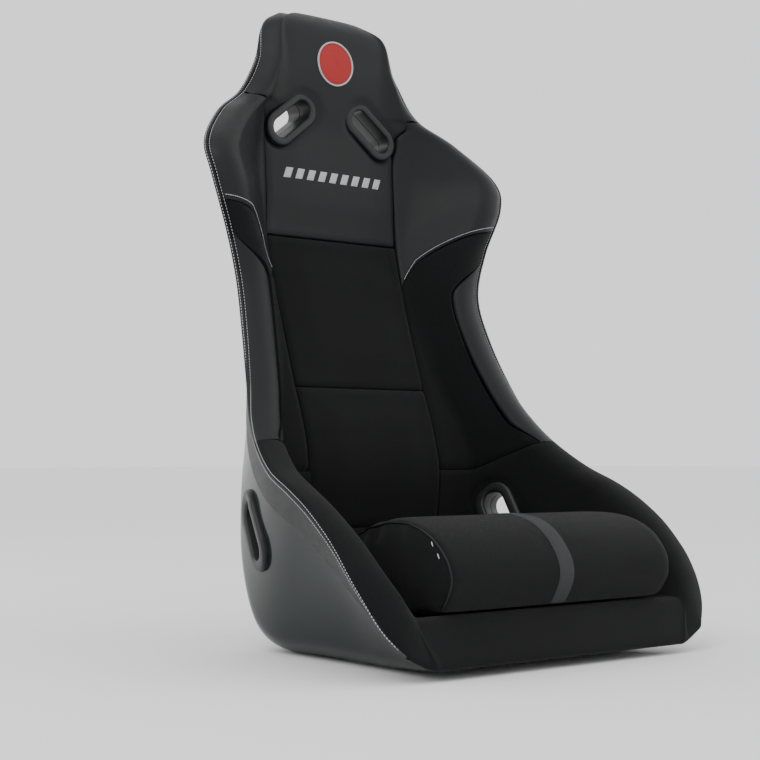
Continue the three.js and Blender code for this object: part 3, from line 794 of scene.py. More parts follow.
def dress(obj: bpy.types.Object, material: bpy.types.Material, body: str = SEAT,
          stands_for: Sequence[str] = ()) -> bpy.types.Object:
    """Give a finished piece its material and body, and say what it replaces.

    Args:
        obj: The piece.
        material: Its finish.
        body: The body that it rides on.
        stands_for: CAD nodes that it replaces.

    Returns:
        The piece.
    """
    obj.data.materials.clear()
    obj.data.materials.append(material)
    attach(obj, body)
    if stands_for:
        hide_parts(*stands_for)
    log.info("%s: %d faces", obj.name, len(obj.data.polygons))
    return obj


# ---- belt slots -------------------------------------------------------------------------
@dataclass(frozen=True)
class BeltSlot:
    """A belt slot's frame on the moulding and the sizes of its bezels, in millimetres."""

    word: str
    station: float
    fraction: float
    heading: tuple[float, float, float]
    length: float
    width: float
    flange: float
    thickness: float
    depth: float
    side: Side
    wall: float = 4.0
    bed: float = 3.7
    dent_fade: float = 9.0
    clearance: float = 0.3
    probe: float = 40.0
    reach_limit: float = 60.0

    def basis(self) -> tuple[Vector, Vector, Vector, Vector]:
        """Origin on the moulding's outside, long, short and inward directions."""
        outside = Vector(FORM.section(self.station, self.fraction, 0, 0))
        inside = Vector(FORM.section(self.station, self.fraction, 20, 20))
        inward = (inside - outside).normalized()
        heading = Vector(self.heading)
        along = (heading - inward * heading.dot(inward)).normalized()
        return outside, along, inward.cross(along), inward

    def lay_points(self, local: Array) -> Array:
        """Carry points from the slot's frame, in millimetres, to the seat, mirrored if left."""
        origin, along, short, inward = (np.array(v) for v in self.basis())
        offset = local[:, :1] * along + local[:, 1:2] * short + local[:, 2:] * inward
        return (origin + MM * offset) * np.array([self.side.value, 1.0, 1.0])

    def dent(self, points: Array) -> Array:
        """Depth by which foam is pressed in around the inner bezel, in millimetres.

        Args:
            points: Points of the cover, in metres, on the slot's own side.

        Returns:
            A depth for each point.
        """
        origin, along, short, inward = (np.array(v) for v in self.basis())
        offset = (points * np.array([self.side.value, 1.0, 1.0]) - origin) / MM
        l, w, n = offset @ along, offset @ short, offset @ inward
        half = (self.length - self.width) / 2
        rim = self.width / 2 + self.wall + self.flange
        away = np.hypot(np.maximum(np.abs(l) - half, 0), w) - rim
        near = np.abs(n - self.depth) < self.reach_limit
        return self.bed * ((1 - ease((away + 1.0) / self.dent_fade)) * near)

    def cutter(self) -> bpy.types.Object:
        """A solid that cuts the slot's hole through the moulding and its pads."""
        clear_selection()
        bpy.ops.mesh.primitive_cylinder_add(vertices=48, radius=1.0, depth=2.0)
        obj = bpy.context.object
        x, y, z = places(obj).T
        radius = self.width / 2 + self.wall + self.clearance
        half = (self.length - self.width) / 2
        long = x * radius + np.sign(x + 1e-6) * half
        lay(obj, self.lay_points(np.stack([long, y * radius, z * 70 + 20], axis=1)))
        face_outwards(obj)
        return obj

    def bow(self, local: Array) -> Array:
        """How far inward the moulding's outside lies beside the slot's plane, in millimetres."""
        tree = surface(bpy.data.objects["gelcoat_shell"])
        flat = local * np.array([1.0, 1.0, 0.0])
        start = self.lay_points(flat - np.array([0.0, 0.0, self.probe]))
        axis = self.basis()[3]
        axis.x *= self.side.value
        depths = np.full(len(local), np.nan)
        for k, point in enumerate(start):
            spot, _, _, distance = tree.ray_cast(Vector(point), axis)
            if spot is not None and distance / MM < self.reach_limit:
                depths[k] = distance / MM - self.probe
        known = ~np.isnan(depths)
        return np.interp(np.arange(len(depths)), np.flatnonzero(known), depths[known])

    def ring(self, name: str, profile: Sequence[tuple[float, float]], count: int = 72,
             bowed: bool = False) -> bpy.types.Object:
        """A ring round the slot whose section is a closed line.

        Args:
            name: The piece's name.
            profile: Distance outside the opening and height inward, in millimetres.
            count: Steps round the slot.
            bowed: Whether its flange follows the moulding's outside.

        Returns:
            The ring.
        """
        clear_selection()
        bpy.ops.mesh.primitive_torus_add(major_segments=count, minor_segments=len(profile))
        obj = named(name)
        half, radius = (self.length - self.width) / 2, self.width / 2
        around = np.repeat(2 * math.pi * (np.arange(count) + 0.5) / count, len(profile))
        line = np.tile(np.array(profile), (count, 1))
        centre = np.sign(np.cos(around)) * half

        def around_at(reach: Array | float) -> Array:
            """Points of the ring at a distance from the slot's middle line."""
            x, y = centre + np.cos(around) * reach, np.sin(around) * reach
            return np.stack([x, y, line[:, 1]], axis=1)

        local = around_at(radius + line[:, 0])
        if bowed:
            share = 1 - ease((line[:, 1] - 2.0) / 6.0)
            local[:, 2] += self.bow(around_at(radius + self.wall + self.flange)) * share
        lay(obj, self.lay_points(local))
        face_outwards(obj)
        return obj

    def inner_bezel(self) -> bpy.types.Object:
        """The bezel on the pad: collar and a round-shouldered flange."""
        top = self.depth + self.thickness - 1.0
        low = self.depth - self.bed
        reach = self.wall + self.flange
        middle = FORM.laminate + (self.depth - FORM.laminate) / 2
        profile = [(0, middle), (0, top - 3.0), (0.9, top - 1.0), (2.8, top), (reach - 4.5, top),
                   (reach - 1.8, top - 0.8), (reach - 0.4, top - 2.6), (reach, top - 4.5),
                   (reach, low), (self.wall, low), (self.wall, middle)]
        return self.ring(f"{self.word}_ring_inner_{self.side.word}", round_line(profile))

    def outer_bezel(self) -> bpy.types.Object:
        """The bezel outside the moulding, with its collar inside the pad."""
        reach = self.wall + self.flange
        middle = FORM.laminate + (self.depth - FORM.laminate) / 2 - 0.3
        out = -self.thickness
        profile = [(0, middle), (self.wall, middle), (self.wall, -0.4), (reach, 1.5),
                   (reach, out + 4.0), (reach - 0.8, out + 1.6), (reach - 2.6, out), (3.0, out),
                   (0.9, out + 1.2), (0, out + 3.4)]
        name = f"{self.word}_ring_outer_{self.side.word}"
        return self.ring(name, round_line(profile), bowed=True)


def round_line(points: Sequence[tuple[float, float]]) -> list[tuple[float, float]]:
    """Cut each corner of a closed line once, to soften moulded edges."""
    softened = []
    for k, (x, y) in enumerate(points):
        for ox, oy in (points[k - 1], points[(k + 1) % len(points)]):
            reach = min(0.25, 0.7 / max(math.hypot(ox - x, oy - y), 0.1))
            softened.append((x + (ox - x) * reach, y + (oy - y) * reach))
    return softened


def belt_slots() -> list[BeltSlot]:
    """The four belt slots, each as deep as the lining is where it goes through."""
    upper, lower = 3.72, 13.08
    upper_tilt, lower_tilt = math.radians(-38), math.radians(-58)
    upper_fraction = float(FORM.fraction(75.5, np.array(upper), cover=False))
    slots = []
    for side in Side:
        slots.append(BeltSlot(
            "shoulder", upper, upper_fraction, (math.cos(upper_tilt), 0, math.sin(upper_tilt)),
            length=78, width=28, flange=8, thickness=6,
            depth=float(FORM.station(np.array(upper))[-2]), side=side))
        slots.append(BeltSlot(
            "lap", lower, 0.8, (0, -math.cos(lower_tilt), math.sin(lower_tilt)),
            length=80, width=33, flange=12, thickness=7,
            depth=float(FORM.station(np.array(lower))[-1]), side=side))
    return slots


def cut_slots(obj: bpy.types.Object, slots: Sequence[BeltSlot]) -> None:
    """Cut belt slots through a piece."""
    for slot in slots:
        cutter = slot.cutter()
        apply_modifier(obj, "BOOLEAN", operation="DIFFERENCE", object=cutter, solver="EXACT")
        bpy.data.meshes.remove(cutter.data)


# ---- moulding ---------------------------------------------------------------------------
@dataclass
class Moulding:
    """The glass-fibre shell."""

    finishes: Finishes
    slots: list[BeltSlot]
    rows: int = 161
    cols: int = 97

    def build(self) -> None:
        """Model, cut and dress the shell."""
        along, across = np.linspace(0, FORM.last, self.rows), np.linspace(-1, 1, self.cols)
        s, f = np.meshgrid(along, across, indexing="ij")
        outside, inside = FORM.shell(s, f, 0.0), FORM.shell(s, f, FORM.laminate)
        shell = grid_solid("gelcoat_shell", outside, inside)
        cut_slots(shell, self.slots)
        smooth_shade(shell, 35)
        dress(shell, self.finishes.gelcoat, stands_for=["shell"])


# ---- pads -------------------------------------------------------------------------------
Limit = Callable[[Array], Array]


@dataclass
class Pad:
    """One foam pad with its cover, between seams on the form."""

    name: str
    start: Limit
    end: Limit
    inner: Limit
    outer: Limit
    sewn: str
    rows: int
    cols: int
    crown: float = 2.5
    groove: float = 3.6
    groove_width: float = 11.0
    crown_fade: float = 60.0
    slots: list[BeltSlot] = field(default_factory=list)

    def grid(self) -> tuple[Array, Array]:
        """Stations and fractions of the cover's points."""
        u, v = np.meshgrid(spread(self.rows), spread(self.cols), indexing="ij")
        begin, finish = self.start(v), self.end(v)
        s = begin + (finish - begin) * u
        left, right = self.inner(s), self.outer(s)
        return s, left + (right - left) * v

    def relief(self, s: Array, points: Array) -> Array:
        """Crown of the foam and valleys at the sewn sides, in millimetres."""
        across, along = travelled(points, 1) / MM, travelled(points, 0) / MM
        distances = {"i": across, "o": across[:, -1:] - across, "s": along, "e": along[-1:] - along}
        relief = np.zeros(points.shape[:2])
        bump = np.ones(points.shape[:2])
        for side in self.sewn:
            near = np.clip(1 - distances[side] / self.groove_width, 0, 1)
            if side in "io":
                near = near * ease((s - SEAMS.head_side) / 0.5)
            relief -= self.groove * (1 - np.sqrt(1 - near ** 2)) + 1.0 * near ** 2
            bump *= ease(distances[side] / self.crown_fade)
        for slot in self.slots:
            relief -= slot.dent(points)
        return np.maximum(relief, -2 * self.groove) + self.crown * bump

    def build(self) -> bpy.types.Object:
        """Model the pad as a closed solid."""
        s, f = self.grid()
        relief = self.relief(s, FORM.cover(s, f))
        front = FORM.cover(s, f, relief)
        back = FORM.shell(s, f, FORM.laminate + 0.5)
        pad = grid_solid(f"{self.name}_cover", front, back)
        cut_slots(pad, self.slots)
        smooth_shade(pad, 50)
        return pad


@dataclass
class Upholstery:
    """All the glued pads and their covers."""

    finishes: Finishes
    slots: list[BeltSlot]
    gap: float = 0.0014
    parting: float = 0.008
    cols: int = 91

    def slots_of(self, word: str, side: Side | None = None) -> list[BeltSlot]:
        """The slots of one kind, on one side or both."""
        return [slot for slot in self.slots if slot.word == word and side in (None, slot.side)]

    def constant(self, value: float) -> Limit:
        """A limit that is the same everywhere."""
        return lambda at: np.full_like(np.asarray(at, float), value)

    def centre(self, name: str, start: float, end: float, sewn: str, rows: int,
               slots: Sequence[BeltSlot] = (), crown: float = 2.5) -> bpy.types.Object:
        """A pad across the middle of the seat."""
        def edge(s: Array) -> Array:
            """Fraction of the pad's edge, clear of the seam unless that is the rim."""
            return np.where(SEAMS.centre(s) < 1, SEAMS.centre(s) - self.gap, 1.0)

        return Pad(name, self.constant(start), self.constant(end), lambda s: -edge(s), edge, sewn,
                   rows, self.cols, slots=list(slots), crown=crown).build()

    def sided(self, name: str, side: Side, start: Limit, end: Limit, inner: Limit, outer: Limit,
              sewn: str, rows: int, slots: Sequence[BeltSlot] = (),
              crown: float = 2.5) -> bpy.types.Object:
        """A pad on one side: the left one is laid out mirrored."""
        sign = side.value
        return Pad(f"{name}_{side.word}", start, end, lambda s: sign * inner(s),
                   lambda s: sign * outer(s), sewn, rows, self.cols, slots=list(slots),
                   crown=crown).build()

    def build(self) -> None:
        """Model and dress every pad."""
        leather, knit = self.finishes.leather, self.finishes.knit
        head = self.centre("head_pad", 0.0, SEAMS.head_back - self.parting, "eio", 130,
                           self.slots_of("shoulder"))
        dress(head, leather, stands_for=["head_pad"])
        panels = (("back_panel", SEAMS.head_back, SEAMS.back_lumbar, "ioes", 70, 4.0),
                  ("lumbar_panel", SEAMS.back_lumbar, SEAMS.lumbar_liner, "ioes", 60, 4.0),
                  ("base_liner", SEAMS.lumbar_liner, SEAMS.lip, "s", 70, 0.5))
        for name, start, end, sewn, rows, crown in panels:
            pad = self.centre(name, start + self.parting, end - self.parting, sewn, rows,
                              crown=crown)
            dress(pad, knit, stands_for=[name])
        lip = Pad("front_lip_pad", self.constant(SEAMS.lip), self.constant(FORM.last),
                  self.constant(-1), self.constant(1), "", 40, 121, crown=0.5).build()
        dress(lip, knit, stands_for=["front_lip_pad"])
        for side in Side:
            self.build_side(side)

    def build_side(self, side: Side) -> None:
        """Model and dress the four pads of one side."""
        leather, knit = self.finishes.leather, self.finishes.knit
        word = side.word
        one = self.constant(1.0)

        def seam(s: Array) -> Array:
            """Fraction of the pads' inner edge, clear of the seam."""
            return SEAMS.centre(s) + self.gap

        shoulder = self.sided("shoulder_pad", side, self.constant(SEAMS.head_side + 0.05),
                              lambda v: SEAMS.shoulder(v) - self.parting, seam, one, "ie", 90,
                              self.slots_of("shoulder", side), crown=3.0)
        dress(shoulder, leather, stands_for=[f"shoulder_pad_{word}"])
        bolster = self.sided("bolster_fabric", side, lambda v: SEAMS.shoulder(v) + self.parting,
                             self.constant(SEAMS.bolster_thigh), seam,
                             lambda s: SEAMS.panel(s) - 0.002, "ise", 100,
                             self.slots_of("lap", side))
        dress(bolster, knit, stands_for=[f"bolster_fabric_{word}"])
        panel = self.sided("rim_panel", side, self.constant(SEAMS.panel_start - 0.2),
                           self.constant(SEAMS.bolster_thigh), SEAMS.panel, one, "i", 90, crown=1.5)
        dress(panel, leather, stands_for=[f"rim_panel_{word}"])
        thigh = self.sided("thigh_bolster", side, self.constant(SEAMS.bolster_thigh + 0.006),
                           self.constant(SEAMS.lip), seam, one, "s", 120,
                           self.slots_of("lap", side), crown=1.0)
        dress(thigh, knit, stands_for=[f"thigh_bolster_{word}"])


# ---- rim --------------------------------------------------------------------------------
@dataclass
class RimPath:
    """A run along the moulding's edge with its inward normals and outward tangents."""

    s: Array
    f: Array
    smoothing: int = 30

    def __post_init__(self) -> None:
        """Work out the edge, the crest and the directions."""
        self.edge = FORM.shell(self.s, self.f, 0.0)
        inward = unit(FORM.shell(self.s, self.f, 10.0) - self.edge)
        side = unit(self.edge - FORM.shell(self.s, self.f * 0.98, 0.0))
        top = FORM.outward_end(self.f, 0.0)
        lip = FORM.outward_end(self.f, float(FORM.last))
        between = np.abs(self.f) < 1 - 1e-6
        at_top = (between & (self.s < 1e-6))[:, None]
        at_lip = (between & (self.s > FORM.last - 1e-6))[:, None]
        outward = np.where(at_top, top, np.where(at_lip, lip, side))
        for _ in range(self.smoothing):
            padded = np.pad(outward, ((1, 1), (0, 0)), mode="edge")
            outward = (padded[:-2] + 2 * outward + padded[2:]) / 4
        outward -= inward * np.sum(outward * inward, axis=1, keepdims=True)
        self.inward = inward
        self.outward = unit(outward)
        self.crest = FORM.cover(self.s, self.f)

    def over(self, angle: float | Array, radius: float, drop: float = 0.0) -> Array:
        """Points over the crest: angle 0 at the crest, a right angle on the outside."""
        centre = self.crest - self.outward * (drop * MM)
        sweep = np.radians(np.broadcast_to(angle, self.s.shape))[:, None]
        away = self.inward * np.sin(sweep) + self.outward * (1 - np.cos(sweep))
        return centre - MM * radius * away

    @staticmethod
    def bulge(s: Array) -> Array:
        """Share of its full height to which the wrap stands up beside the crest."""
        return ease(s / 2.5) * (1 - ease((s - 8.5) / 4.5))


@dataclass
class RimCovers:
    """Covers that roll over the rim, and the wrap outside it."""

    finishes: Finishes
    angles: tuple[float, ...] = (-14, 0, 15, 30, 45, 60, 72, 82, 90, 97)
    backing: float = 2.2
    lip_radius: float = 5.0
    widths: tuple[tuple[float, float], ...] = (
        (0, 30), (3, 40), (6, 60), (11, 68), (14, 62), (17, 48), (19, 26), (20, 12))
    hem: float = 3.5
    tuck: float = 0.4
    head_depth: float = 34.0
    head_margin: float = 30.0

    def path(self, start: float, end: float, side: Side, count: int) -> RimPath:
        """A run along one side's rim."""
        s = np.linspace(start, end, count)
        return RimPath(s, np.full(count, float(side.value)))

    def end_path(self, seam: float, end: float) -> RimPath:
        """A run from one side seam round the head or the lip to the other."""
        along = np.linspace(seam, end, 40)
        across = np.linspace(1, -1, 120)[1:-1]
        s = np.concatenate([along, np.full(len(across), end), along[::-1]])
        f = np.concatenate([np.ones(40), across, -np.ones(40)])
        return RimPath(s, f)

    def roll(self, name: str, path: RimPath, material: bpy.types.Material, slot: str,
             radius: float = FORM.roll_radius) -> None:
        """The part of a cover that rolls over the crest to the outside seam."""
        front = np.stack([path.over(a, radius) for a in self.angles], axis=1)
        for k, sink in ((0, 0.5), (len(self.angles) - 2, 0.6), (len(self.angles) - 1, 1.8)):
            front[:, k] += path.inward * sink * MM - path.outward * (sink * MM if k == 0 else 0)
        back = np.stack([path.over(a, radius - self.backing, self.backing) for a in self.angles],
                        axis=1)
        piece = grid_solid(name, front, back)
        smooth_shade(piece, 60)
        dress(piece, material)

    def wrap(self, name: str, side: Side, start: float, end: float, rows: int,
             material: bpy.types.Material, slot: str, stands_for: Sequence[str]) -> None:
        """The strip glued outside the moulding along one rim."""
        widths = np.array(self.widths, float)
        s = np.linspace(start, end, rows)[:, None]
        width = np.interp(s, widths[:, 0], widths[:, 1])
        share = (1 - FORM.arc[1]) * width / FORM.wall_length(s)
        inner = np.maximum(1 - share, FORM.arc[0] + 0.02)
        u = spread(26, 0.8)[None, :]
        f = (inner + (1 - inner) * u) * side.value
        hem = np.clip(u * width / self.hem, 0, 1)
        seam = np.clip((1 - u) * width / 4.0, 0, 1)
        taper = quarter(np.clip((FORM.last - s) / 0.7, 0, 1))
        rise = (FORM.glue + FORM.wrap) * quarter(hem) * 0.75 * taper + 1.0
        path = RimPath(s[:, 0], np.full(rows, float(side.value)))
        bulge = path.bulge(s)
        near = ease((u * width - width + 24) / 24)
        depth = -(rise - 1.6 * (1 - seam) ** 2 + 1.5 * bulge * near)
        lift = MM * (bulge * near * 10.5 - 2.2 * u ** 2)
        shift = path.outward[:, None, :] * lift[..., None]
        front = FORM.shell(s, f, depth) + shift
        back = FORM.shell(s, f, -self.tuck) + shift
        piece = grid_solid(name, front, back)
        smooth_shade(piece, 60)
        dress(piece, material, stands_for=stands_for)

    def head_wrap(self) -> None:
        """The strip glued outside the head's top edge."""
        deep = self.head_depth / (STATIONS[0][1] - STATIONS[1][1])
        s, u = np.meshgrid(spread(16) * deep, np.linspace(-1, 1, 81), indexing="ij")
        f = u * (1 - (1 - FORM.arc[1]) * self.head_margin / FORM.wall_length(s) - 0.01)
        near = np.clip((deep - s) / deep * self.head_depth / self.hem, 0, 1)
        depth = -(4.1 * quarter(near) + 1.2)
        front, back = FORM.shell(s, f, depth), FORM.shell(s, f, -self.tuck)
        piece = grid_solid("head_outer_wrap", front, back)
        smooth_shade(piece, 60)
        dress(piece, self.finishes.leather, stands_for=["head_wrap"])

    def build(self) -> None:
        """Model every roll and wrap."""
        leather, knit = self.finishes.leather, self.finishes.knit
        self.roll("head_edge", self.end_path(SEAMS.head_side, 0.0), leather, "leather")
        self.roll("lip_edge", self.end_path(SEAMS.lip, float(FORM.last)), knit, "fabric",
                  radius=self.lip_radius)
        self.head_wrap()
        for side in Side:
            word = side.word
            runs = (("shoulder_edge", SEAMS.head_side, SEAMS.shoulder_rim, leather, "leather"),
                    ("waist_edge", SEAMS.shoulder_rim, SEAMS.panel_start, knit, "fabric"),
                    ("rim_edge", SEAMS.panel_start, SEAMS.bolster_thigh, leather, "leather"),
                    ("thigh_edge", SEAMS.bolster_thigh, SEAMS.lip, knit, "fabric"))
            for name, start, end, material, slot in runs:
                count = max(int((end - start) * 18), 14)
                self.roll(f"{name}_{word}", self.path(start, end, side, count), material, slot)
            self.wrap(f"upper_wrap_{word}", side, 0.0, SEAMS.shoulder_rim, 90, leather,
                      "leather", [f"edge_wrap_{word}"])
            self.wrap(f"waist_wrap_{word}", side, SEAMS.shoulder_rim, SEAMS.panel_start, 20, knit,
                      "fabric", ())
            self.wrap(f"lower_wrap_{word}", side, SEAMS.panel_start, float(FORM.last), 150, leather,
                      "leather", ())


# ---- stitching --------------------------------------------------------------------------
@dataclass
class Stitching:
    """Rows of contrast stitches, each row one mesh of copies of a single stitch."""

    finishes: Finishes
    pitch: float = 4.2
    length: float = 3.0
    thickness: float = 1.1
    shoulder_pitch: float = 3.2
    base_angle: float = 60.0
    shoulder_angle: float = 4.0

    def stitch(self) -> tuple[Array, list[list[int]]]:
        """One stitch modelled round the origin along X, as points and faces."""
        clear_selection()
        bpy.ops.mesh.primitive_uv_sphere_add(segments=6, ring_count=4, radius=0.5)
        obj = bpy.context.object
        points = places(obj)[:, [2, 0, 1]]
        points[:, 0] = np.sign(points[:, 0]) * np.abs(points[:, 0]) ** 0.6 * 0.5 ** 0.4
        faces = [list(p.vertices) for p in obj.data.polygons]
        bpy.data.meshes.remove(obj.data)
        return points * np.array([self.length, self.thickness, self.thickness]) * MM, faces

    def row(self, name: str, line: Array, normals: Array, pitch: float | None = None,
            body: str = SEAT) -> None:
        """Lay stitches along a line.

        Args:
            name: The row's name.
            line: Points of the line, in metres.
            normals: The surface's normals at those points.
            pitch: Millimetres from stitch to stitch.
            body: The body that the row rides on.
        """
        step = (pitch or self.pitch) * MM
        run = travelled(line)
        stops = np.arange(step / 2, run[-1], step)
        centre, normal = values_at(stops, run, line), values_at(stops, run, normals)
        ahead, behind = (values_at(stops + k * step / 3, run, line) for k in (1, -1))
        along = unit(ahead - behind)
        normal = unit(normal - along * np.sum(normal * along, axis=1, keepdims=True))
        basis = np.stack([along, np.cross(normal, along), normal], axis=1)
        points, faces = self.stitch()
        placed = np.einsum("pk,nkc->npc", points, basis) + centre[:, None, :]
        count = len(points)
        every = [[i + n * count for i in face] for n in range(len(stops)) for face in faces]
        mesh = bpy.data.meshes.new(name)
        mesh.from_pydata(placed.reshape(-1, 3).tolist(), [], every)
        obj = bpy.data.objects.new(name, mesh)
        bpy.context.scene.collection.objects.link(obj)
        face_outwards(obj)
        smooth_shade(obj, 80)
        dress(obj, self.finishes.thread, body=body)

    def build(self) -> None:
        """Sew the rim's double rows and the shoulder seams."""
        for side in Side:
            s = np.linspace(0.4, FORM.last - 0.5, 500)
            path = RimPath(s, np.full(len(s), float(side.value)))
            bulge = path.bulge(s)
            angle = self.base_angle - (self.base_angle - self.shoulder_angle) * bulge
            front = path.over(angle, FORM.roll_radius + 0.15)
            turn = np.radians(angle)[:, None]
            facing = path.outward * np.cos(turn) - path.inward * np.sin(turn)
            self.row(f"rim_stitch_front_{side.word}", front, facing)
            rise = (bulge * 14.8 - 6.3)[:, None]
            deep = (5.35 - 1.5 * bulge)[:, None]
            lower = path.edge - path.inward * (deep * MM) + path.outward * (rise * MM)
            self.row(f"rim_stitch_back_{side.word}", lower,
                     path.outward * bulge[:, None] - path.inward)
            v = np.linspace(0.06, 0.99, 200)
            shoulder = SEAMS.shoulder(v) - 0.085
            f = SEAMS.centre(shoulder) + (1 - SEAMS.centre(shoulder)) * v
            seam = FORM.cover(shoulder, f * side.value, 1.2)
            deeper = FORM.cover(shoulder, f * side.value, -8.0)
            self.row(f"shoulder_stitch_{side.word}", seam, seam - deeper, self.shoulder_pitch)


# ---- bezels -----------------------------------------------------------------------------
@dataclass
class Bezels:
    """The moulded rings of the belt slots."""

    finishes: Finishes
    slots: list[BeltSlot]

    def build(self) -> None:
        """Model and dress the eight rings."""
        for slot in self.slots:
            for ring in (slot.inner_bezel(), slot.outer_bezel()):
                smooth_shade(ring, 42)
                dress(ring, self.finishes.plastic,
                      stands_for=[ring.name.replace("ring", "bezel")])


# ---- cushion ----------------------------------------------------------------------------
@dataclass
class RollCushion:
    """The loose seat cushion with its tape band and bar tacks."""

    finishes: Finishes
    top: tuple[tuple[float, float], ...] = (
        (199, 92), (209, 112), (252, 137), (312, 163), (367, 178), (417, 183), (462, 178),
        (497, 160), (518, 136), (524, 120))
    front_bottom: tuple[tuple[float, float], ...] = ((512, 84), (524, 106))
    clearance: float = 4.8
    rear_half: float = 168.0
    front_half: float = 197.0
    middle: tuple[float, float] = (395.0, 122.0)
    shrink: float = 2.0
    swell: float = 4.0
    pressure: float = 4.0
    frames: int = 20
    voxel: float = 0.0055
    band_width: float = 25.0
    seam_radius: float = 1.5
    tack_half: float = 3.5

    def bottom(self) -> Array:
        """Side-view line of the cushion's underside, forward and up."""
        s = np.arange(15.15, 19.16, 0.5)
        points = FORM.cover(s, np.zeros_like(s), self.clearance) / MM
        line = np.stack([FORM.offset - points[:, 1], points[:, 2]], axis=1)
        line[0, 0] = self.top[0][0]
        return np.concatenate([line, np.array(self.front_bottom)])

    def outline(self) -> Array:
        """Closed side-view line of the cushion, its corners cut and its points even."""
        line = np.concatenate([np.array(self.top), self.bottom()[::-1]])
        for _ in range(3):
            following = np.roll(line, -1, axis=0)
            cuts = [near * line + (1 - near) * following for near in (0.75, 0.25)]
            line = np.stack(cuts, axis=1).reshape(-1, 2)
        closed = np.concatenate([line, line[:1]])
        run = travelled(closed)
        return values_at(np.linspace(0, run[-1], 241)[:-1], run, closed)

    def half_width(self, u: Array) -> Array:
        """Half of the cushion's width at a distance forward."""
        rear, front = self.top[0][0], self.top[-1][0]
        share = np.clip((u - rear) / (front - rear) * 1.25, 0, 1)
        return self.rear_half + (self.front_half - self.rear_half) * share

    def body(self) -> bpy.types.Object:
        """The cut foam block before it is covered: a cube laid on the outline."""
        clear_selection()
        bpy.ops.mesh.primitive_cube_add(size=2.0)
        obj = named("roll_cushion")
        edit(obj, lambda: bpy.ops.mesh.subdivide(number_cuts=47))
        cube = places(obj)
        line, (mu, mz) = self.outline(), self.middle
        angles = np.arctan2(line[:, 1] - mz, line[:, 0] - mu)
        radii = np.hypot(line[:, 0] - mu, line[:, 1] - mz) - self.shrink
        order = np.argsort(angles)
        turn = np.arctan2(cube[:, 2] * 42.0, cube[:, 1] * 150.0)
        reach = np.interp(turn, angles[order], radii[order], period=2 * math.pi)
        reach = reach * np.maximum(np.abs(cube[:, 1]), np.abs(cube[:, 2]))
        u, z = mu + np.cos(turn) * reach, mz + np.sin(turn) * reach
        x = cube[:, 0] * (self.half_width(u) - self.shrink)
        lay(obj, np.stack([x, FORM.offset - u, z], axis=1) * MM)
        face_outwards(obj)
        return obj

    def inflate(self, obj: bpy.types.Object) -> None:
        """Swell the block under its cover with the Cloth simulation."""
        apply_modifier(obj, "REMESH", mode="VOXEL", voxel_size=self.voxel)
        rest = places(obj)
        cloth = obj.modifiers.new("cloth", "CLOTH")
        cloth.settings.use_pressure = True
        cloth.settings.uniform_pressure_force = self.pressure
        cloth.settings.effector_weights.gravity = 0.0
        for number in range(1, self.frames + 1):
            bpy.context.scene.frame_set(number)
        pick(obj)
        bpy.ops.object.modifier_apply(modifier=cloth.name)
        bpy.context.scene.frame_set(1)
        move = places(obj) - rest
        size = np.linalg.norm(move, axis=1, keepdims=True)
        capped = rest + move * np.minimum(1, self.swell * MM / np.maximum(size, 1e-9))
        bottom = self.bottom()
        floor = np.interp(FORM.offset - capped[:, 1] / MM, bottom[:, 0], bottom[:, 1]) * MM
        capped[:, 2] = np.maximum(capped[:, 2], floor)
        lay(obj, capped)
        apply_modifier(obj, "SMOOTH", factor=0.5, iterations=6)
        apply_modifier(obj, "SUBSURF", levels=1, render_levels=1)

    def chart(self, obj: bpy.types.Object) -> None:
        """Map the cover in metres: round the roll, and flat on its end faces."""
        mesh = obj.data
        layer = mesh.uv_layers.new(name="UVMap")
        points = places(obj)
        middle = np.array([0.0, (FORM.offset - 400) * MM, 110 * MM])
        away = points - middle
        round_it = np.stack([points[:, 0], np.arctan2(away[:, 2], -away[:, 1]) * 0.1], axis=1)
        flat = points[:, 1:]
        charted = np.empty((len(mesh.loops), 2))
        for face in mesh.polygons:
            source = flat if abs(face.normal.x) > 0.75 else round_it
            for loop, vertex in zip(face.loop_indices, face.vertices):
                charted[loop] = source[vertex]
        layer.data.foreach_set("uv", charted.reshape(-1))

    def band(self, cushion: bpy.types.Object) -> None:
        """The grey tape over the top and front of the cushion."""
        tree = surface(cushion)
        path = np.concatenate([np.array(self.top)[1:], self.bottom()[-3:][::-1]])
        run = travelled(path)
        line = values_at(np.linspace(0, run[-1], 90), run, path)
        across = np.linspace(-self.band_width / 2, self.band_width / 2, 7)
        front = np.empty((len(line), len(across), 3))
        back = np.empty_like(front)
        for i, (u, z) in enumerate(line):
            for j, x in enumerate(across):
                spot, normal, _, _ = tree.find_nearest(Vector((x, FORM.offset - u, z)) * MM)
                edge = 0.4 if j in (0, len(across) - 1) else 1.0
                front[i, j] = spot + normal * (1.1 * MM * edge)
                back[i, j] = spot - normal * (0.4 * MM)
        piece = grid_solid("grey_band", front, back)
        smooth_shade(piece, 60)
        dress(piece, self.finishes.band, body=CUSHION, stands_for=["cushion_band"])

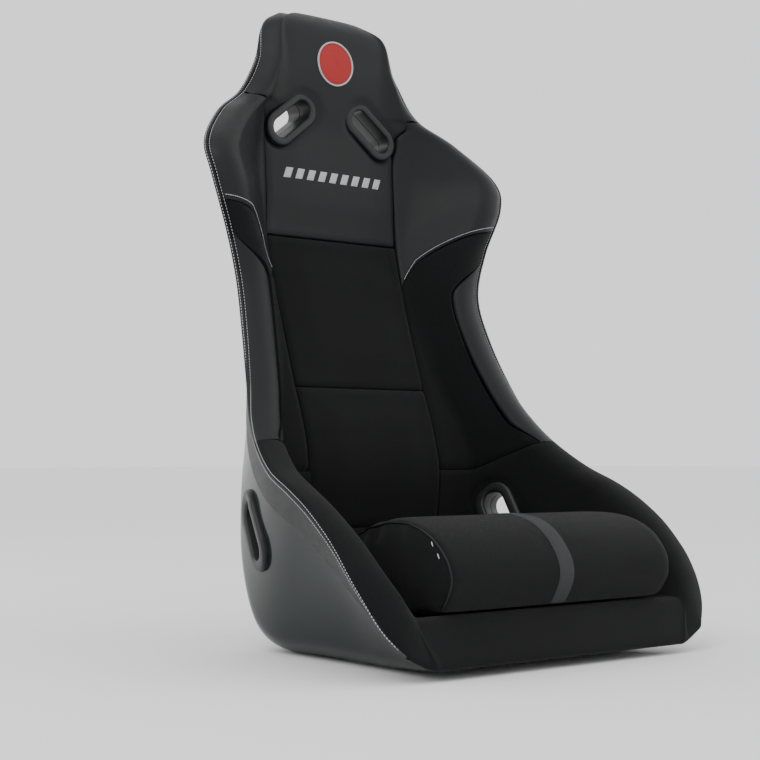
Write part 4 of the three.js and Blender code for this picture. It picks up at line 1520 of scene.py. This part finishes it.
    def piping(self, cushion: bpy.types.Object, side: Side) -> None:
        """The turned seam round one end of the cushion."""
        tree = surface(cushion)
        line = self.outline()
        clear_selection()
        bpy.ops.mesh.primitive_torus_add(major_segments=len(line), minor_segments=8)
        obj = named(f"cushion_seam_{side.word}")
        x = side.value * (self.half_width(line[:, 0]) - 0.5)
        spots = [tree.find_nearest(Vector((a, FORM.offset - u, z)) * MM)[:2]
                 for a, (u, z) in zip(x, line)]
        centre = np.array([spot + normal * (0.2 * MM) for spot, normal in spots])
        for _ in range(4):
            centre = (np.roll(centre, 1, axis=0) + 2 * centre + np.roll(centre, -1, axis=0)) / 4
        mu, mz = self.middle
        outward = unit(np.stack([0 * x, mu - line[:, 0], line[:, 1] - mz], axis=1))
        angle = np.linspace(0, 2 * math.pi, 9)[:-1, None]
        axis = np.array([1.0, 0.0, 0.0])
        around = np.cos(angle) * outward[:, None] + np.sin(angle) * axis
        lay(obj, (centre[:, None] + self.seam_radius * MM * around).reshape(-1, 3))
        face_outwards(obj)
        smooth_shade(obj, 80)
        dress(obj, self.finishes.leather, body=CUSHION)

    def bar_tacks(self, cushion: bpy.types.Object) -> None:
        """Two light bar tacks on the front of each end."""
        tree = surface(cushion)
        sewing = Stitching(self.finishes, pitch=7.0, length=7.0, thickness=1.8)
        mu, mz = self.middle
        for side in Side:
            for number, (u, z) in enumerate(((mu + 92, mz + 34), (mu + 103, mz + 20)), 1):
                x = side.value * float(self.half_width(np.array(u)))
                spot, normal, _, _ = tree.find_nearest(Vector((x, FORM.offset - u, z)) * MM)
                along = Vector((0.0, 0.45, 0.9)) * (self.tack_half * MM)
                line = np.array([spot - along, spot + along])
                sewing.row(f"bar_tack_{side.word}_{number}", line, np.array([normal, normal]),
                           body=CUSHION)

    def build(self) -> None:
        """Model, swell and dress the cushion."""
        cushion = self.body()
        self.inflate(cushion)
        self.chart(cushion)
        smooth_shade(cushion, 80)
        dress(cushion, self.finishes.knit, body=CUSHION, stands_for=["seat_cushion"])
        self.band(cushion)
        for side in Side:
            self.piping(cushion, side)
        self.bar_tacks(cushion)


# ---- embroidery -------------------------------------------------------------------------
@dataclass
class Embroidery:
    """The plain round patch on the head and the row of bars below it."""

    finishes: Finishes
    radius: float = 33.0
    station: float = 1.82
    border: float = 2.6
    bars: int = 9
    bar_height: float = 15.0
    bar_width: float = 12.0
    bar_slant: float = 3.0
    bar_lift: float = 0.9
    row_half: float = 92.0
    row_z: float = 664.0
    sink: float = 0.8
    patch_lift: float = 1.3
    border_lift: float = 1.7

    def skin(self, x: Array, z: Array, lift: float) -> Array:
        """Points that stand a little proud of the head pad at given x and z, in millimetres."""
        tree = surface(bpy.data.objects["head_pad_cover"])
        points = np.empty(x.shape + (3,))
        for index in np.ndindex(x.shape):
            start = Vector((x[index] * MM, -0.4, z[index] * MM))
            spot, normal, _, _ = tree.ray_cast(start, Vector((0.0, 1.0, 0.0)))
            points[index] = spot + normal * (lift * MM)
        return points

    def raised(self, name: str, x: Array, z: Array, lift: Array) -> bpy.types.Object:
        """A piece of satin stitch whose back is sunk into the pad."""
        back, front = self.skin(x, z, -self.sink), self.skin(x, z, 0.0)
        return grid_solid(name, front + (front - back) / self.sink * lift[..., None], back)

    def disc(self, name: str, inner: float, outer: float, lift: float,
             material: bpy.types.Material, stands_for: Sequence[str]) -> None:
        """A ring or disc of satin stitch laid on the pad."""
        turns, radii = np.linspace(0, 2 * math.pi, 73), np.linspace(inner, outer, 8)
        turn, r = np.meshgrid(turns, radii, indexing="ij")
        middle = float(FORM.cover(np.array(self.station), np.array(0.0))[2]) / MM
        x, z = r * np.cos(turn), middle + r * np.sin(turn)
        edge = np.sqrt(np.clip(1 - (2 * (r - inner) / (outer - inner) - 1) ** 8, 0.05, 1))
        piece = self.raised(name, x, z, lift * edge)
        edit(piece, lambda: bpy.ops.mesh.remove_doubles(threshold=1e-5),
             lambda: bpy.ops.mesh.select_all(action="DESELECT"),
             lambda: bpy.ops.mesh.select_mode(type="FACE"),
             lambda: bpy.ops.mesh.select_interior_faces(),
             lambda: bpy.ops.mesh.delete(type="FACE"),
             lambda: bpy.ops.mesh.select_all(action="SELECT"),
             lambda: bpy.ops.mesh.normals_make_consistent(inside=False),
             lambda: bpy.ops.mesh.select_mode(type="VERT"))
        smooth_shade(piece, 60)
        dress(piece, material, stands_for=stands_for)

    def bar_row(self) -> None:
        """Slanted bars in a row across the head pad."""
        for k in range(self.bars):
            centre = -self.row_half + (2 * self.row_half) * (k + 0.5) / self.bars
            u, v = np.meshgrid(np.linspace(-1, 1, 7), np.linspace(-1, 1, 9), indexing="ij")
            x = centre + u * self.bar_width / 2 + v * self.bar_slant
            z = self.row_z + v * self.bar_height / 2
            edge = np.clip((1 - np.maximum(np.abs(u), np.abs(v))) * 6, 0.1, 1)
            piece = self.raised(f"head_bar_{k + 1}", x, z, self.bar_lift * edge)
            smooth_shade(piece, 60)
            dress(piece, self.finishes.silver)

    def build(self) -> None:
        """Model the patch, its border and the bars."""
        inside = self.radius - self.border
        self.disc("round_patch", 0.4, inside, self.patch_lift, self.finishes.red, ["head_patch"])
        self.disc("round_patch_border", inside, self.radius, self.border_lift,
                  self.finishes.silver, ())
        self.bar_row()


# ---- carried-over pieces ----------------------------------------------------------------
def dress_kept_nodes(finishes: Finishes) -> None:
    """Give the inserts and the hook-and-loop strips their finishes."""
    finish_of = {"base_insert": finishes.zinc, "hook_strip": finishes.loop,
                 "loop_strip": finishes.loop}
    for name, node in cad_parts.items():
        for start, material in finish_of.items():
            if name.startswith(start):
                for place in node.material_slots:
                    place.material = material


def main() -> None:
    """Build the scene."""
    studio = Studio()
    studio.place_camera()
    finishes = Finishes()
    slots = belt_slots()
    Moulding(finishes, slots).build()
    Upholstery(finishes, slots).build()
    RimCovers(finishes).build()
    Bezels(finishes, slots).build()
    Stitching(finishes).build()
    Embroidery(finishes).build()
    RollCushion(finishes).build()
    dress_kept_nodes(finishes)
    studio.light()
    clear_selection()


if __name__ == "__main__":
    main()
